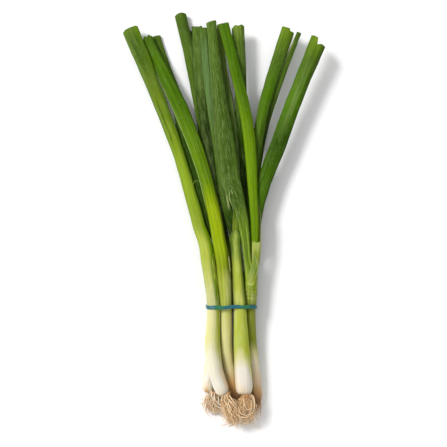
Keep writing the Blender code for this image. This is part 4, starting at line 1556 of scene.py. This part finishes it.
# one thin green fibre lies loose across the gap between two leaves
fibre = {
    "beside": "onion_c_leaf_top", "y": 30, "thickness": 0.32, "seed": 61,
    "points": [(-10.5, -2.2, -2.0), (-9, 0.6, 0.5), (-6.8, 1.2, 1.5), (-4.2, -0.3, 1.8),
               (-3.6, -1.8, 2.6)],
    "look": {**rootBasics, "dark": "leafGreen", "light": "limeGreen", "end": "dustAndSheenGreen", "crown": 0,
             "soil": 0},
}


def makeFibre():
    spots = courses[fibre["beside"]]["spots"]
    anchor = readAt([fibre["y"] * mm], spots[:, 1], spots)
    line = anchor + smoothThrough(fibre["points"], 40) * mm
    finish = rootMaterial("loose_fibre_green", fibre["look"])
    settle(placeStrand("loose_fibre", line, fibre["thickness"], fibre["seed"], finish), "green_leaf")


makeFibre()


# the rubber band
band = {
    "width": 2.7, "thickness": 0.9, "inset": 0.5, "around": 24, "along": 260, "wander": 0.3,
    "stations": 181, "lean": 0.16, "squareness": 0.45, "ribs": 5.0, "ribDepth": 0.03,
    "dent": 0.08, "dentLength": 4, "seed": 5.0, "dustAndGlints": 0.7,
    "greenBetween": [("onion_b_stem", "onion_c_stem"), ("onion_d_stem", "onion_e_stem")],
    "greenReach": 5.0,
}


def outlineOf(points):
    # the convex outline of flat points, counter-clockwise
    points = sorted(map(tuple, points))
    halves = []
    for run in (points, points[::-1]):
        half = []
        for point in run:
            while len(half) > 1 and (
                    (half[-1][0] - half[-2][0]) * (point[1] - half[-2][1])
                    - (half[-1][1] - half[-2][1]) * (point[0] - half[-2][0])) <= 0:
                half.pop()
            half.append(point)
        halves += half[:-1]
    return np.array(halves)


def middleAtBand(node):
    spots = courses[node]["spots"]
    return np.interp(bandMiddle, spots[:, 1], spots[:, 0])


def bandMaterial():
    material, tree, surface, place = startMaterial("band_teal_rubber")
    right = addNode(tree, "ShaderNodeSeparateXYZ", {0: place}).outputs["X"]
    colour = shades["bandTeal"]
    for pair in band["greenBetween"]:
        middle = sum(middleAtBand(node) for node in pair) / 2
        away = maths(tree, "ABSOLUTE", minus(tree, right, middle))
        mask = fadeBetween(tree, away, band["greenReach"] * mm, 0.4 * band["greenReach"] * mm)
        colour = mixColour(tree, mask, colour, shades["bandGreen"])
    # pale speckles over the rubber, dust and painted glints, which also make it rougher and bumpier
    dustAndGlints = useGroup(tree, patches, Place=place, Size=1.2 * mm, Long=1.0, Low=0.6, High=0.75,
                    Shift=8.0)["Mask"]
    colour = mixColour(tree, times(tree, dustAndGlints, band["dustAndGlints"]), colour, shades["bandDustAndGlints"])
    tree.links.new(colour, surface.inputs["Base Color"])
    tree.links.new(maths(tree, "MULTIPLY_ADD", dustAndGlints, 0.2, 0.35), surface.inputs["Roughness"])
    addBump(tree, surface, dustAndGlints, 0.3, 0.1)
    return material


def makeBand():
    corners = nodeTriangles("rubber_band").reshape(-1, 3)
    middle = (corners[:, 1].min() + corners[:, 1].max()) / 2
    outline = outlineOf(corners[:, [0, 2]])
    outline = evenly(np.stack([
        np.append(outline[:, 0], outline[0, 0]), np.zeros(len(outline) + 1),
        np.append(outline[:, 1], outline[0, 1])], axis=1), band["stations"])[:-1]
    forward = np.roll(outline, -1, axis=0) - np.roll(outline, 1, axis=0)
    outward = unit(np.cross(forward, (0, 1, 0)))
    centre = outline.mean(axis=0)
    if ((outline - centre) * outward).sum() < 0:
        outward = -outward
    spots = outline - outward * (band["thickness"] / 2 + band["inset"]) * mm
    turn = np.linspace(0, 2 * math.pi, len(spots), endpoint=False)
    spots[:, 1] = middle + band["wander"] * mm * (np.sin(turn * 3 + 0.6) + 0.6 * np.sin(turn * 7))
    lean = band["lean"] * np.sin(turn * 4 + 1.0)
    side = np.outer(np.cos(lean), (0, 1, 0)) + np.sin(lean)[:, None] * outward
    up = np.cos(lean)[:, None] * outward - np.outer(np.sin(lean), (0, 1, 0))
    guide = makeGuide("band_guide", spots, {
        "side": side, "up": up, "halfWidth": np.full(len(spots), band["width"] / 2 * mm),
        "halfHeight": np.full(len(spots), band["thickness"] / 2 * mm)}, closed=True)
    piece = growMesh("rubber_band_loop", bladeTree, guide, {
        "Around": band["around"], "Along": band["along"], "End density": 0.0,
        "Squareness": band["squareness"],
        "Ribs": band["ribs"], "Rib depth": band["ribDepth"] * mm, "Dent depth": band["dent"] * mm,
        "Dent length": band["dentLength"] * mm, "Seed": band["seed"], "Finish": bandMaterial()})
    order, grid, _ = readGrid(piece.data)
    grid[-1] = grid[0]
    writeGrid(piece.data, order, grid)
    weld(piece.data)
    model = bmesh.new()
    model.from_mesh(piece.data)
    if model.calc_volume(signed=True) < 0:
        bmesh.ops.reverse_faces(model, faces=model.faces)
    model.to_mesh(piece.data)
    model.free()
    settle(piece, "band_rubber", "rubber_band")


makeBand()
print("band made")
